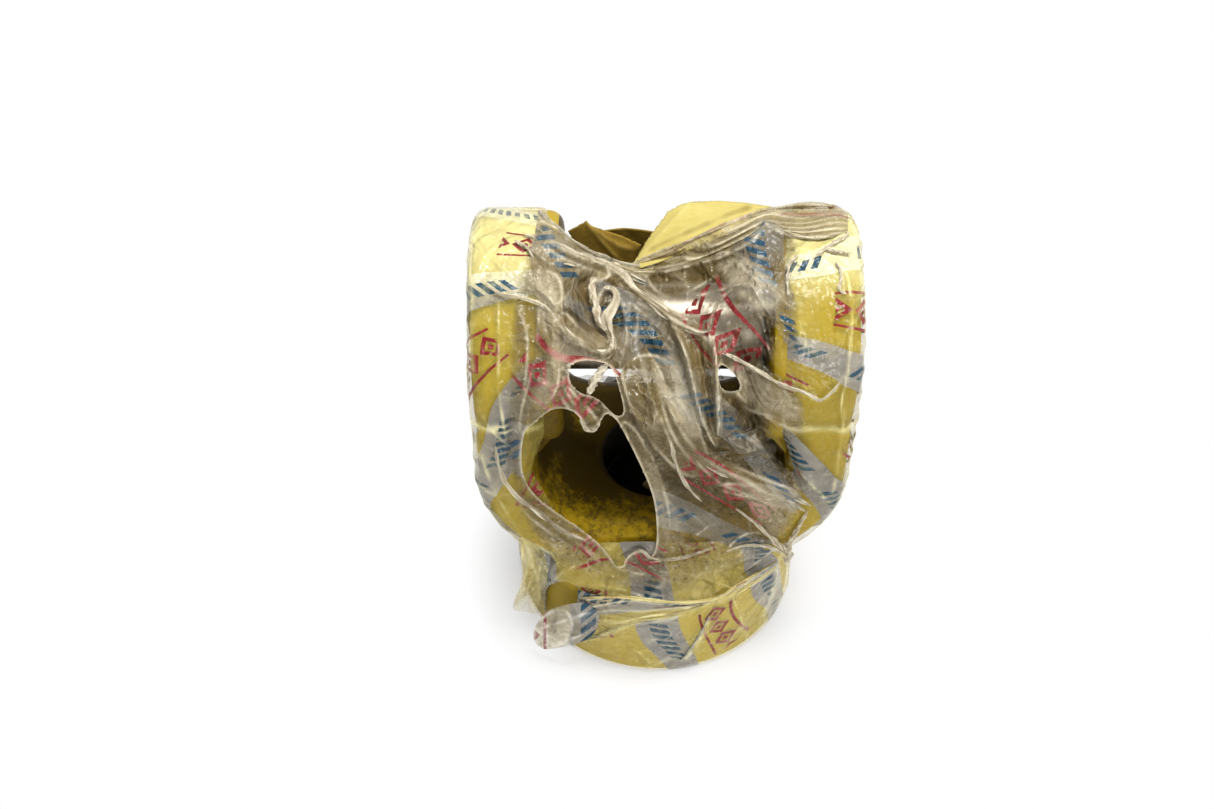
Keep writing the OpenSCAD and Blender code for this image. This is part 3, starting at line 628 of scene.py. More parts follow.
# packing paper: mottled fibre, paler along its creases as a painted highlight, and browner along the lines
# marked for painted shade
def paperFinish(name, pale, deep, brown):
    made, tree, shader, coords = newFinish(name)
    threads = grain(stretched(coords, paperLook["fibre"]), 420.0, 4.0, 0.6)
    mottle = grain(coords, 55.0, 5.0, 0.6)
    colour = tone(ramp(mottle, 0.3, 0.7), deep, pale)
    colour = tone(times(ramp(threads, 0.4, 0.7), 0.25), colour, brown)
    colour = tone(times(markOf(tree, "fold"), 0.35), colour, paperLook["crease"])
    # painted shade along the marked lines
    paperFoldShade = times(ramp(markOf(tree, "dirtAndShade"), 0.85, 1.3), 0.7)
    colour = tone(paperFoldShade, colour, [0.6 * k for k in brown])
    relief = plus(threads, times(mottle, 1.5))
    feed(shader, {"Base Color": colour, "Specular IOR Level": paperLook["gloss"],
                  "Roughness": plus(times(threads, 0.25), 0.62), "Normal": bumpOf(relief, 0.4, 0.0006)})
    return made


earFinish = filmFinish("clearFilm", haze=0.10, bandHaze=0.52, tint=(0.55, 0.46, 0.07), creased=0.6,
                       roughness=0.15, dirtAndShade=0.6, paleTone=(0.90, 0.82, 0.40), layerTone=(0.94, 0.86, 0.42))
skirtFinish = filmFinish("looseFilm", haze=0.26, bandHaze=0.45, tint=(0.80, 0.67, 0.18), creased=0.85,
                         roughness=0.18, dirtAndShade=0.55, paleTone=(0.88, 0.81, 0.50),
                         layerTone=(0.44, 0.34, 0.15))
# film over the slot: a dark brown copy of the film, with darker bands and layers, as painted shade
webFinish = filmFinish("hazyFilmInShade", haze=0.22, bandHaze=0.38, tint=(0.15, 0.10, 0.022), creased=0.85,
                       roughness=0.15, dirtAndShade=1.1, paleTone=(0.80, 0.72, 0.53), layerTone=(0.22, 0.175, 0.09),
                       bandTone=(0.165, 0.155, 0.13))
# film behind the slot: a darker brown copy of the film, as painted shade
backFinish = filmFinish("dustyFilmInShade", haze=0.36, bandHaze=0.3, tint=(0.34, 0.285, 0.16), creased=0.45,
                        roughness=0.22, dirtAndShade=0.8)
ropeFinish = filmFinish("gatheredFilm", haze=0.34, bandHaze=0.3, tint=(0.42, 0.34, 0.17), creased=0.7,
                        roughness=0.22, dirtAndShade=0.9, ink=0.55, paleTone=(0.80, 0.73, 0.55),
                        layerTone=(0.36, 0.30, 0.18))
seamFinish = filmFinish("rolledFilm", haze=0.5, bandHaze=0.1, tint=(0.44, 0.37, 0.23), creased=0.7,
                        roughness=0.18, dirtAndShade=0.9, ink=0.12, paleTone=(0.90, 0.84, 0.69))
stripFinish = filmFinish("doubledFilm", haze=0.36, bandHaze=0.3, tint=(0.58, 0.53, 0.38), creased=0.7,
                         roughness=0.2, dirtAndShade=0.7, paleTone=(0.90, 0.86, 0.74), layerTone=(0.62, 0.57, 0.44))
# the same paper twice: as lit on the right flap, and darker as painted shade on the left flap and the back
# sheet
paperFace = paperFinish("packingPaper", (0.54, 0.46, 0.15), (0.46, 0.37, 0.10), (0.34, 0.25, 0.06))
paperShade = paperFinish("packingPaperInShade", (0.30, 0.19, 0.024), (0.20, 0.12, 0.012), (0.11, 0.065, 0.008))
steel = metalFinish("pinSteel", (0.40, 0.36, 0.29), (0.31, 0.27, 0.21), 0.26, (12.0, 1.0, 1.0))
zinc = metalFinish("zincSteel", (0.62, 0.60, 0.54), (0.42, 0.41, 0.38), 0.32, (1.0, 1.0, 4.0))
black = metalFinish("blackSteel", (0.09, 0.09, 0.10), (0.03, 0.03, 0.035), 0.4, (1.0, 1.0, 4.0), 0.8)
bronze = metalFinish("bronze", (0.60, 0.38, 0.16), (0.40, 0.24, 0.09), 0.35, (10.0, 1.0, 1.0))
brass = metalFinish("brass", (0.68, 0.47, 0.17), (0.48, 0.31, 0.09), 0.33, (1.0, 8.0, 1.0))
rubber = metalFinish("wiperRubber", (0.035, 0.035, 0.037), (0.016, 0.016, 0.017), 0.6, (4.0, 1.0, 1.0), 0.0)
cadFinishes = [
    (paintFinish(),
     ["boss", "yoke_bar", "boss_welds", "left_eye", "right_eye", "left_eye_weld", "right_eye_weld"]),
    (steel, ["clevis_pin", "nipple_ball", "nipple_spring"]),
    (zinc, ["left_end_washer", "right_end_washer", "grease_nipple"]),
    (black, ["left_circlip", "right_circlip", "lock_screw"]),
    (bronze, ["left_bush", "right_bush"]),
    (brass, ["lock_pad"]),
    (rubber, ["left_wiper", "right_wiper"]),
]
for finish, names in cadFinishes:
    for nodeName in names:
        nodes[nodeName].data.materials.clear()
        nodes[nodeName].data.materials.append(finish)
print("finishes made")

# spring behind the check ball
springLook = dict(turns=6, wire=0.2, around=10, steps=24, joint="ball_lift")


# spring: a ring of wire, thin at both ends, carried along a helix between the ends of the CAD spring
def springPart(low, high):
    k = springLook
    turn = np.linspace(0, 2 * np.pi * k["turns"], k["turns"] * k["steps"])[:, None]
    run = turn / turn[-1]
    a = np.linspace(0, 2 * np.pi, k["around"], endpoint=False)[None, :]
    wire = k["wire"] * np.sqrt(np.clip(np.minimum(run, 1 - run) * 60, 0, 1))
    middle, coil = (low + high) / 2, (high[1] - low[1]) / 2 - k["wire"]
    x = low[0] + k["wire"] + (high[0] - low[0] - 2 * k["wire"]) * run + wire * np.sin(a)
    r = coil + wire * np.cos(a)
    points = np.stack([x, middle[1] + r * np.cos(turn), middle[2] + r * np.sin(turn)], -1)
    around = np.linspace(0, 2 * np.pi * k["wire"], k["around"] + 1)[None, :]
    mapping = np.stack(np.broadcast_arrays(around, coil * turn), -1)
    return gridPart(points, mapping, {}, None, True)


springLow, springHigh = (np.array(k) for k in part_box("nipple_spring"))
spring = makePiece("nippleSpring", [springPart(springLow / mm, springHigh / mm)], steel,
                   ("nipple_spring",), "pin")
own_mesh(spring)
print("spring made")

# film on the ears, in mm; folds as (line in pixels, rise in mm, width in pixels, whiteness)
earFilm = dict(radius=39.9, axis=131.0, low=58.0, bendX=17.0, bendZ=92.0, bendRadius=47.0, corner=6.4,
               rows=330, cols=110, lipDrop=3.5, lipWidth=6.0, frontTurn=2.2, creaseSize=13.0, fineSize=7.0,
               pleat=10.5, sway=4.0, swaySize=42.0, topLayerAndHighlight=0.52, dustTop=118.0, seam=122.5, seamWidth=1.8,
               eyeRadius=39.0, innerAt=(58, 75, 98, 116, 131), inner=(24, 37, 45, 40, 36))
leftFolds = [
    ([(498, 300), (499, 345), (498, 385), (503, 420), (507, 440)], 1.0, 4, 0.8),
    ([(485, 283), (500, 295), (520, 297), (540, 303), (553, 313)], 0.8, 3, 0.8),
    ([(480, 440), (489, 476), (500, 500), (516, 524), (526, 548)], 1.2, 5, 0.6),
    ([(495, 445), (500, 475), (513, 493), (530, 507)], 1.0, 4, 0.8),
    ([(470, 250), (474, 300), (472, 350), (478, 390)], 0.9, 5, 0.55),
    ([(490, 225), (520, 217), (545, 222)], 0.7, 6, 0.5),
    ([(505, 330), (522, 360), (530, 400), (526, 440)], 0.8, 4, 0.45),
    ([(478, 400), (490, 430), (512, 446)], 0.8, 3, 0.6),
]
rightFolds = [
    ([(838, 260), (848, 280), (851, 310), (850, 345), (846, 380), (840, 400), (843, 430)], 1.3, 4, 0.85),
    ([(812, 258), (830, 245), (850, 232)], 1.2, 4, 0.85),
    ([(826, 250), (852, 253)], 1.0, 3, 0.8),
    ([(760, 372), (780, 384), (800, 390), (815, 398), (820, 402)], 1.3, 4, 0.75),
    ([(820, 402), (832, 392), (842, 380)], 1.2, 4, 0.8),
    ([(798, 255), (790, 262), (787, 275), (788, 295)], 0.6, 3, 0.7),
    ([(836, 262), (842, 275), (838, 290), (846, 293)], 0.7, 3, 0.75),
    ([(800, 345), (822, 338)], 0.4, 2, 0.6),
    ([(845, 400), (840, 440), (836, 470), (832, 495)], 1.0, 5, 0.6),
    ([(800, 470), (818, 490), (828, 500)], 1.0, 4, 0.6),
    ([(780, 300), (770, 330), (768, 355), (780, 378)], 0.6, 4, 0.5),
]


# film on an ear: a profile that runs over the rim, round the outer corner and across the side to the
# middle, carried along the ear's outline from the front of the shoulder over the top to the back; doubled
# and paler over the top, partly as a painted highlight, and paler in a band along the weld seam, painted
# light that hides the seam's shade line
def earPart(sign, folds, seed, mapTurn, mapShift):
    e = earFilm
    straight = e["axis"] - e["low"]
    arc = math.pi * e["radius"]
    run = np.linspace(0, 2 * straight + arc, e["rows"])[:, None]
    turn = np.clip((run - straight) / e["radius"], 0, math.pi)
    coreZ = e["axis"] - np.maximum(0, straight - run) - np.maximum(0, run - straight - arc)
    outY, outZ = -np.cos(turn), np.sin(turn)
    outer = e["bendX"] + np.sqrt(e["bendRadius"] ** 2 - np.maximum(0, e["bendZ"] - coreZ) ** 2)
    inner = np.interp(coreZ, e["innerAt"], e["inner"])
    flatLen = outer - e["corner"] - inner
    cornerLen = e["corner"] * math.pi / 2
    sideLen = e["radius"] - e["corner"]
    rimLen = flatLen + cornerLen
    reach = np.linspace(0, 1, e["cols"])[None, :] * (rimLen + sideLen)
    bend = np.clip((reach - flatLen) / e["corner"], 0, math.pi / 2)
    x = np.where(reach < flatLen, inner + reach, outer - e["corner"] + e["corner"] * np.sin(bend))
    sunk = e["corner"] * (1 - np.cos(bend)) + np.maximum(0, reach - rimLen)
    sunk = sunk + e["lipDrop"] * np.clip(1 - reach / e["lipWidth"], 0, 1) ** 2
    r = np.maximum(e["radius"] - sunk, 0)
    base = np.stack([sign * x, outY * r, coreZ + outZ * r], -1)
    height = base[..., 2]
    front = (turn * np.ones(x.shape) < e["frontTurn"]) & (reach < flatLen + 0.6 * cornerLen)
    rise, white, dirtAndShade = (k * front for k in foldRelief(*toPixel(base), folds))
    creases = crinkle(base, e["creaseSize"], seed, 3)
    fine = crinkle(base * np.array([1, 1, 0.6]), e["fineSize"], seed + 5, 3)
    side = np.clip((reach - flatLen) / 12, 0, 1)
    pleats = np.maximum(0, np.sin(2 * np.pi * run / e["pleat"] + 4 * swell(base, 30.0, seed + 8))) ** 2
    pleats = pleats * np.exp(-((reach - rimLen - 3) / 8) ** 2)
    pleats = pleats * np.clip(0.5 + swell(base, 26.0, seed + 9), 0, 1)
    lift = rise + (0.25 + 0.35 * side) * creases + 0.2 * fine + 0.9 * pleats
    lift = lift + 0.4 * np.maximum(0, swell(base, 22.0, seed + 2))
    n = gridNormals(base) * -sign
    n[..., 0] = np.where(np.abs(n).sum(-1) < 0.1, sign, n[..., 0])
    points = base + lift[..., None] * n
    points[:, -1, 1] = 0.0
    c, s = cosSin(mapTurn)
    outward = rimLen + sideLen - reach
    mapY, mapZ = outY * outward, coreZ + outZ * outward
    mapping = np.stack([c * mapY + s * mapZ + mapShift, c * mapZ - s * mapY], -1)
    mapping = swayed(mapping, base, e["sway"], e["swaySize"], seed + 6)
    fold = np.maximum(white, 0.5 * pleats ** 2)
    fold = np.clip(np.maximum(fold, (0.5 + 0.6 * side) * creases ** 2 + 0.25 * fine ** 3), 0, 1)
    rim = reach < rimLen
    # doubled film on the top, paler partly as a painted highlight
    layer = e["topLayerAndHighlight"] * np.clip((outZ - 0.78) / 0.2, 0, 1) * rim
    offSide = np.hypot(base[..., 1], height - e["axis"]) - e["eyeRadius"]
    offSeam = np.where(rim, height - e["seam"], np.where(height < e["seam"], offSide, 9))
    # painted light: a paler band along the weld seam that hides its shade line
    seamLightBand = np.clip(0.36 + 0.5 * swell(base, 9.0, seed + 12), 0.12, 0.55)
    layer = np.maximum(layer, seamLightBand * np.exp(-(offSeam / e["seamWidth"]) ** 2))
    dusty = np.clip(0.55 + 0.8 * swell(base, 17.0, seed + 11), 0, 1)
    dusty = dusty * np.clip((e["dustTop"] - height) / 30, 0, 1)
    dirtAndShade = np.maximum(0.6 * dirtAndShade, 0.75 * dusty)
    return gridPart(points, mapping, dict(fold=fold, dirtAndShade=dirtAndShade, layer=layer), None, False, sign > 0)


leftEar = makePiece("filmLeftEar", [earPart(-1, leftFolds, 3, 17.5, 14.7)], earFinish,
                    ("film_left_ear", "film_left_shoulder"))
rightEar = makePiece("filmRightEar", [earPart(1, rightFolds, 4, 38.5, 68.0)], earFinish,
                     ("film_right_ear", "film_right_shoulder"))
print("ear film made")

# film over the slot
webFilm = dict(
    mid=[(-52.5, 46), (-48, 53), (-43, 60), (-40.6, 66), (-40.6, 126), (-36, 134), (-22, 142.5), (-6, 148),
         (4, 148.8), (14, 150)],
    earRadius=40.5, earAxis=131.0, valley=640, leftSpan=78, rightSpan=116,
    knot=(900, 600), fanRadius=300, fanShift=-19, sway=16, swaySize=75.0,
    outline=[(546, 218), (560, 231), (577, 244), (600, 257), (632, 263), (655, 255), (700, 236), (742, 218),
             (768, 211), (794, 226), (802, 255), (800, 300), (800, 350), (806, 395), (806, 440), (804, 470),
             (806, 496), (797, 520), (782, 540), (765, 555), (735, 572), (700, 584), (660, 590), (622, 588),
             (590, 580), (562, 565), (540, 545), (520, 512), (507, 475), (504, 430), (508, 390), (510, 345),
             (514, 300), (524, 255), (535, 228)],
    tear=[(584, 425), (588, 429), (594, 428), (600, 423), (606, 412), (615, 418), (620, 425), (628, 440),
          (637, 458), (645, 475), (651, 490), (655, 505), (657, 525), (657, 540), (655, 552), (650, 558),
          (645, 552), (640, 550), (630, 554), (625, 560), (624, 566), (616, 567), (612, 560), (605, 550),
          (595, 540), (580, 528), (560, 515), (540, 500), (530, 490), (523, 475), (521, 460), (522, 445),
          (525, 430), (535, 423), (543, 415), (553, 409), (562, 408), (570, 410), (578, 415)],
    window=[(569, 370), (573, 363), (584, 360), (597, 361), (608, 364), (615, 374), (619, 388), (623, 403),
            (624, 414), (617, 417), (608, 409), (600, 400), (592, 396), (582, 394), (574, 388), (569, 379)],
    gap=[(719, 364), (726, 366), (738, 378), (741, 388), (733, 392), (722, 390), (718, 378)],
)
# folds with no whiteness are hollows, with painted shade along them
webFolds = [
    ([(545, 240), (580, 258), (615, 268), (635, 290), (650, 302), (675, 322), (700, 334), (708, 331)],
     3.0, 6, 0.7),
    ([(708, 331), (711, 318), (716, 303), (730, 290), (745, 283)], 2.2, 5, 0.6),
    ([(690, 297), (720, 291), (745, 283)], 1.6, 4, 0.75),
    ([(673, 325), (685, 350), (693, 380), (698, 405), (706, 430), (715, 445)], 2.6, 5, 0.45),
    ([(710, 335), (716, 370), (717, 405), (718, 435), (716, 448)], 2.6, 4, 0.6),
    ([(690, 330), (702, 360), (707, 400), (713, 435)], -1.6, 5, 0.0),
    ([(555, 320), (562, 328), (570, 338), (585, 347), (598, 354), (610, 352), (613, 340)], 2.2, 6, 0.6),
    ([(580, 360), (567, 370), (562, 385), (570, 398), (578, 410)], 1.4, 5, 0.5),
    ([(640, 300), (636, 330), (640, 360), (650, 395), (662, 425)], 2.0, 7, 0.25),
    ([(622, 300), (628, 335), (622, 360), (616, 378)], 1.6, 6, 0.35),
    ([(660, 415), (665, 430), (672, 445), (674, 458), (680, 475), (690, 490), (702, 502)], 1.6, 3.5, 0.95),
    ([(660, 385), (672, 415), (688, 442), (702, 457), (722, 471), (745, 480), (775, 489), (800, 496),
      (815, 505)],
     2.0, 6, 0.55),
    ([(715, 484), (740, 484), (765, 492), (790, 501), (805, 510), (812, 522)], 1.6, 4, 0.8),
    ([(720, 490), (745, 497), (770, 500), (790, 503)], 1.4, 4, 0.7),
    ([(715, 350), (740, 360), (760, 372), (780, 385), (800, 390)], 1.8, 5, 0.75),
    ([(735, 390), (750, 405), (765, 415), (775, 424), (795, 431), (812, 430)], 1.4, 4, 0.6),
    ([(728, 420), (750, 440), (775, 458), (800, 478)], 1.3, 5, 0.4),
    ([(730, 456), (750, 455), (772, 457)], -0.8, 3, 0.0),
    ([(495, 445), (500, 475), (513, 493), (530, 507), (548, 520), (565, 532), (580, 538), (600, 547)],
     1.3, 4, 0.8),
    ([(690, 540), (702, 531), (712, 524)], 0.8, 3, 0.6),
    ([(725, 552), (735, 540), (750, 532), (762, 534)], 0.9, 3, 0.75),
    ([(650, 562), (680, 558), (700, 552), (714, 547)], 1.5, 3, 0.85),
    ([(782, 552), (768, 535), (752, 520)], 1.2, 5, 0.6),
    ([(784, 550), (797, 530), (810, 510)], 1.4, 5, 0.65),
    ([(545, 265), (553, 300), (552, 340), (556, 375), (546, 405)], 1.2, 6, 0.3),
    ([(750, 300), (762, 318), (768, 345), (772, 365)], 1.0, 4, 0.5),
    ([(650, 275), (690, 266), (725, 256), (752, 242), (765, 226)], 2.2, 5, 0.7),
    ([(763, 222), (778, 231), (800, 240)], 2.0, 5, 0.6),
    ([(740, 345), (748, 395), (742, 440)], -7.0, 15, 0.0),
    ([(575, 275), (592, 305), (622, 330)], -5.0, 17, 0.0),
    ([(640, 340), (662, 372), (668, 395)], -3.0, 11, 0.0),
    ([(672, 326), (684, 350), (692, 380), (697, 405), (705, 430)], 2.5, 3, 0.6),
    ([(713, 336), (718, 370), (719, 405), (720, 436)], 3.0, 3, 0.9),
    ([(618, 420), (632, 452), (646, 486), (652, 520)], 1.2, 3, 0.7),
    ([(636, 420), (652, 455), (664, 490), (672, 530)], 1.4, 4, 0.5),
    ([(690, 455), (712, 478), (732, 490), (760, 497)], 1.5, 4, 0.6),
    ([(600, 548), (612, 562), (622, 572), (650, 575)], 1.2, 4, 0.6),
    ([(540, 512), (566, 534), (590, 552), (608, 572)], 1.2, 5, 0.5),
    ([(780, 470), (795, 485), (806, 500)], 1.2, 4, 0.6),
    ([(765, 505), (780, 520), (786, 540)], 1.3, 4, 0.7),
    ([(700, 590), (728, 575), (755, 563), (782, 552)], 1.4, 4, 0.7),
]
# milky areas of the drawn film: (outline in pixels, amount)
webPales = [
    ([(716, 262), (745, 256), (774, 282), (788, 298), (768, 316), (744, 302), (726, 280)], 0.42),
    ([(528, 272), (545, 268), (562, 300), (560, 322), (546, 340), (538, 312), (530, 296)], 0.34),
    ([(652, 358), (676, 352), (690, 390), (704, 436), (690, 440), (670, 412), (655, 384)], 0.34),
    ([(718, 360), (745, 368), (780, 388), (812, 408), (808, 426), (770, 412), (738, 396)], 0.36),
    ([(548, 322), (566, 340), (570, 362), (560, 396), (540, 412), (530, 400), (546, 372), (550, 346)],
     0.28),
    ([(752, 484), (790, 496), (806, 508), (796, 528), (776, 540), (760, 520), (746, 500)], 0.34),
    ([(640, 452), (656, 470), (672, 500), (690, 530), (676, 552), (662, 540), (656, 500)], 0.22),
]
# doubled areas of the drawn film, and clearer ones: (outline in pixels, amount)
webLayers = [
    ([(673, 325), (685, 350), (693, 380), (698, 405), (706, 430), (716, 447), (719, 435), (717, 405),
      (716, 370), (711, 337)], 0.35),
    ([(545, 238), (580, 254), (618, 264), (640, 286), (676, 314), (706, 328), (700, 338), (672, 328),
      (644, 304), (625, 288), (605, 274), (575, 264), (548, 250)], 0.3),
    ([(536, 268), (560, 275), (563, 300), (558, 345), (560, 385), (545, 408), (528, 424), (522, 440),
      (518, 420), (535, 360), (540, 310)], 0.3),
    ([(658, 385), (680, 398), (700, 440), (724, 460), (760, 478), (806, 494), (814, 516), (790, 512),
      (745, 495), (705, 474), (672, 440)], 0.25),
    ([(720, 360), (750, 385), (790, 405), (838, 420), (836, 436), (795, 432), (760, 416), (735, 392)],
     0.25),
    ([(555, 318), (575, 338), (600, 350), (612, 340), (606, 318), (618, 296), (610, 286), (600, 292),
      (596, 318), (598, 336), (580, 330), (565, 310)], 0.3),
    ([(620, 362), (655, 352), (680, 372), (700, 430), (712, 470), (690, 480), (664, 458), (640, 428),
      (626, 396)], 0.34),
    ([(722, 362), (760, 372), (792, 395), (790, 420), (750, 412), (735, 398)], 0.2),
    ([(536, 214), (562, 230), (585, 248), (604, 262), (612, 276), (596, 282), (574, 282), (562, 304),
      (542, 304), (530, 262)], 0.7),
    ([(724, 396), (745, 405), (764, 420), (760, 440), (738, 442), (722, 430)], -0.2),
    ([(700, 285), (745, 275), (768, 300), (768, 345), (740, 350), (716, 335)], -0.14),
    ([(616, 420), (632, 424), (648, 450), (664, 484), (672, 530), (664, 556), (656, 548), (656, 520),
      (650, 490)], 0.3),
    ([(640, 272), (690, 262), (728, 250), (742, 258), (716, 276), (690, 292), (664, 300)], 0.16),
    ([(512, 300), (530, 330), (524, 400), (508, 470), (516, 508), (560, 540), (600, 566), (585, 578),
      (548, 556), (516, 516), (500, 470), (502, 400)], 0.18),
    ([(568, 408), (584, 424), (600, 423), (590, 410), (576, 396), (566, 384), (560, 396)], 0.3),
    ([(764, 262), (800, 250), (812, 300), (812, 370), (800, 392), (780, 386), (762, 372), (756, 340),
      (757, 300)], -0.4),
    ([(768, 424), (812, 436), (812, 484), (800, 482), (780, 472), (760, 452)], -0.4),
]


# depth of the film at a pixel: on the ears it follows their round, between them it hangs in to the pin
def webDepth(u, v):
    w = webFilm
    mid = np.array(w["mid"], float)
    arc = np.linspace(math.pi, 0.35 * math.pi, 40)
    top = np.stack([w["earRadius"] * np.cos(arc), w["earAxis"] + w["earRadius"] * np.sin(arc)], 1)
    ear = np.vstack([mid[:4], top])
    depths = []
    for path in (mid, ear):
        at = toPixel(np.c_[np.full(len(path), eye[0]), path])[1]
        depths.append(np.interp(v, at[::-1], path[::-1, 0]))
    off = u - w["valley"]
    share = np.clip(np.where(off < 0, -off / w["leftSpan"], off / w["rightSpan"]), 0, 1) ** 1.5
    return depths[0] * (1 - share) + depths[1] * share


# place of the film at a pixel, on its depth
def webPlace(u, v):
    return onDepth(u, v, webDepth(u, v))


# print on the drawn film: rays of a fan about the knot that it is drawn to, swayed by slow swells
def fanMap(u, v):
    w = webFilm
    du, dv = u - w["knot"][0], v - w["knot"][1]
    fan = np.stack([w["fanRadius"] * np.arctan2(dv, du) + w["fanShift"], np.hypot(du, dv)], -1)
    return sheetLook["mapScale"] * swayed(fan, np.stack([u, v], -1), w["sway"], w["swaySize"], 8)


webHoles = [webFilm["tear"], webFilm["window"], webFilm["gap"]]
webPart = pixelSheet(webPlace, webFilm["outline"], webHoles, 1.5, webFolds, fanMap, 11, fadeWidth=9,
                     layers=webLayers, pales=webPales, draw=34.0)
web = makePiece("filmFrontWeb", [webPart], webFinish, ("film_front_web", "film_over_web"))

# strands of gathered film along the folds: (pixels, thickness in mm, lift from the film in mm)
webStrands = [
    ([(485, 283), (500, 295), (520, 297), (540, 303), (553, 313), (562, 328), (570, 338), (585, 347),
      (598, 354), (610, 352), (613, 340), (608, 325), (606, 318), (613, 308), (617, 297), (613, 288),
      (603, 288)],
     (0.3, 0.5, 0.8, 1.5, 1.5, 1.1), 1.4),
    ([(597, 277), (590, 285), (595, 300), (597, 318), (606, 332)], (0.8, 1.3, 0.9), 1.6),
    ([(545, 240), (580, 257), (615, 268), (635, 290), (650, 302), (675, 322), (700, 334), (708, 331)],
     (0.9, 1.5, 1.5, 0.6), 2.6),
    ([(660, 415), (665, 430), (672, 445), (674, 458), (680, 475), (690, 490), (702, 502)],
     (0.25, 0.55, 0.6, 0.25), 1.6),
    ([(715, 350), (740, 360), (760, 372), (780, 385), (800, 390), (815, 398), (820, 402), (832, 392),
      (842, 380)],
     (0.3, 0.6, 0.5, 0.5, 0.3), 1.2),
    ([(625, 562), (632, 553), (643, 549), (651, 560), (680, 559), (700, 553), (714, 547)],
     (0.3, 0.5, 0.5, 0.25), 1.0),
    ([(673, 326), (685, 350), (693, 380), (698, 405), (706, 430), (715, 446)], (0.3, 0.5, 0.4, 0.3), 2.4),
    ([(709, 333), (716, 370), (718, 405), (719, 436)], (0.35, 0.55, 0.5, 0.3), 2.6),
    ([(495, 445), (500, 475), (513, 493), (530, 507), (548, 520), (565, 532), (582, 540), (602, 550)],
     (0.3, 0.7, 0.8, 0.7, 0.3), 0.9),
    ([(708, 331), (711, 318), (717, 303), (730, 291), (747, 283)], (0.5, 0.5, 0.3, 0.2), 1.8),
    ([(609, 362), (600, 372), (592, 384), (588, 397)], (0.5, 1.3, 1.3, 0.6), 0.3),
    ([(580, 418), (584, 428), (591, 432), (598, 427), (600, 420)], (0.3, 0.5, 0.6, 0.5, 0.3), 0.6),
    ([(784, 551), (770, 536), (752, 520), (735, 508)], (0.9, 0.6, 0.3), 1.2),
    ([(786, 550), (797, 530), (808, 510)], (1.0, 0.7, 0.4), 1.0),
    ([(784, 553), (765, 545), (742, 545), (725, 552)], (0.8, 0.5, 0.25), 1.0),
    ([(776, 545), (787, 548), (790, 555), (785, 563)], (0.8, 1.3, 1.0), 0.5),
    ([(690, 452), (712, 470), (745, 481), (780, 491), (812, 506)], (0.3, 0.7, 0.8, 0.5), 1.8),
    ([(716, 485), (742, 485), (766, 492), (790, 501), (806, 512)], (0.3, 0.6, 0.6, 0.4), 1.4),
    ([(722, 490), (748, 497), (772, 500), (792, 505)], (0.25, 0.45, 0.4, 0.25), 1.2),
    ([(812, 258), (830, 246), (850, 233)], (0.4, 0.7, 0.6), 1.0),
    ([(826, 250), (840, 252), (851, 254)], (0.4, 0.6, 0.4), 1.0),
    ([(798, 255), (789, 264), (787, 278), (788, 296)], (0.4, 0.5, 0.3), 0.6),
    ([(836, 262), (843, 275), (838, 290), (847, 294)], (0.4, 0.5, 0.4), 0.8),
    ([(514, 240), (526, 246), (540, 262), (548, 252), (540, 238), (522, 234)],
     (0.3, 0.6, 0.8, 0.8, 0.6, 0.4), 0.8),
]


# path of a strand: its pixels on the film, lifted towards the eye
def strandPath(place, pixels, lift):
    line = evenly(soften(pixels, 2), 60)
    return lifted(place(line[:, 0], line[:, 1]), lift)


# strands of gathered film: one for each path
def strandParts(place, strands, seed):
    return [strandPart(strandPath(place, line, lift), thick, seed + k, pale=0.75)
            for k, (line, thick, lift) in enumerate(strands)]


seams = makePiece("filmSeams", strandParts(webPlace, webStrands, 20), seamFinish)
print("front film made")

# gathered rope along the top: lines in pixels, its strands with their thickness in mm
ropeFilm = dict(
    upper=[(630, 264), (655, 254), (680, 244), (705, 233), (742, 217), (775, 207), (812, 203), (836, 204),
           (848, 213)],
    lower=[(628, 273), (655, 273), (690, 265), (725, 254), (750, 241), (765, 226), (785, 233), (812, 241),
           (848, 231)],
    left=[(538, 211), (560, 231), (577, 245), (600, 258), (630, 266), (650, 270)],
    fan=[(533, 250), (552, 262), (576, 267), (600, 270), (622, 276), (645, 288)],
    back=11.0,
    strands=[([(538, 210), (560, 230), (577, 244), (600, 257), (630, 266), (655, 266)], 0.7),
             ([(536, 228), (556, 244), (580, 258), (606, 265), (634, 275)], 0.6),
             ([(630, 265), (655, 255), (680, 245), (705, 234), (742, 218), (775, 208), (812, 204),
               (838, 206)], 0.7),
             ([(628, 273), (660, 272), (692, 264), (726, 253), (750, 240), (765, 226)], 0.55),
             ([(765, 224), (786, 233), (812, 240), (848, 232)], 0.6)])


# place of the rope at a pixel: on the film's depth, and between the ears no farther back than the CAD rope
def ropePlace(u, v):
    depth = webDepth(u, v)
    between = (u > webFilm["valley"] - webFilm["leftSpan"]) & (u < webFilm["valley"] + webFilm["rightSpan"])
    return onDepth(u, v, np.where(between, np.minimum(depth, ropeFilm["back"]), depth))


# points along and across a ridge, and the map's size in mm
pleatLook = dict(steps=150, across=16, mapWide=13, mapLong=80, mapShift=7, foot=0.4)


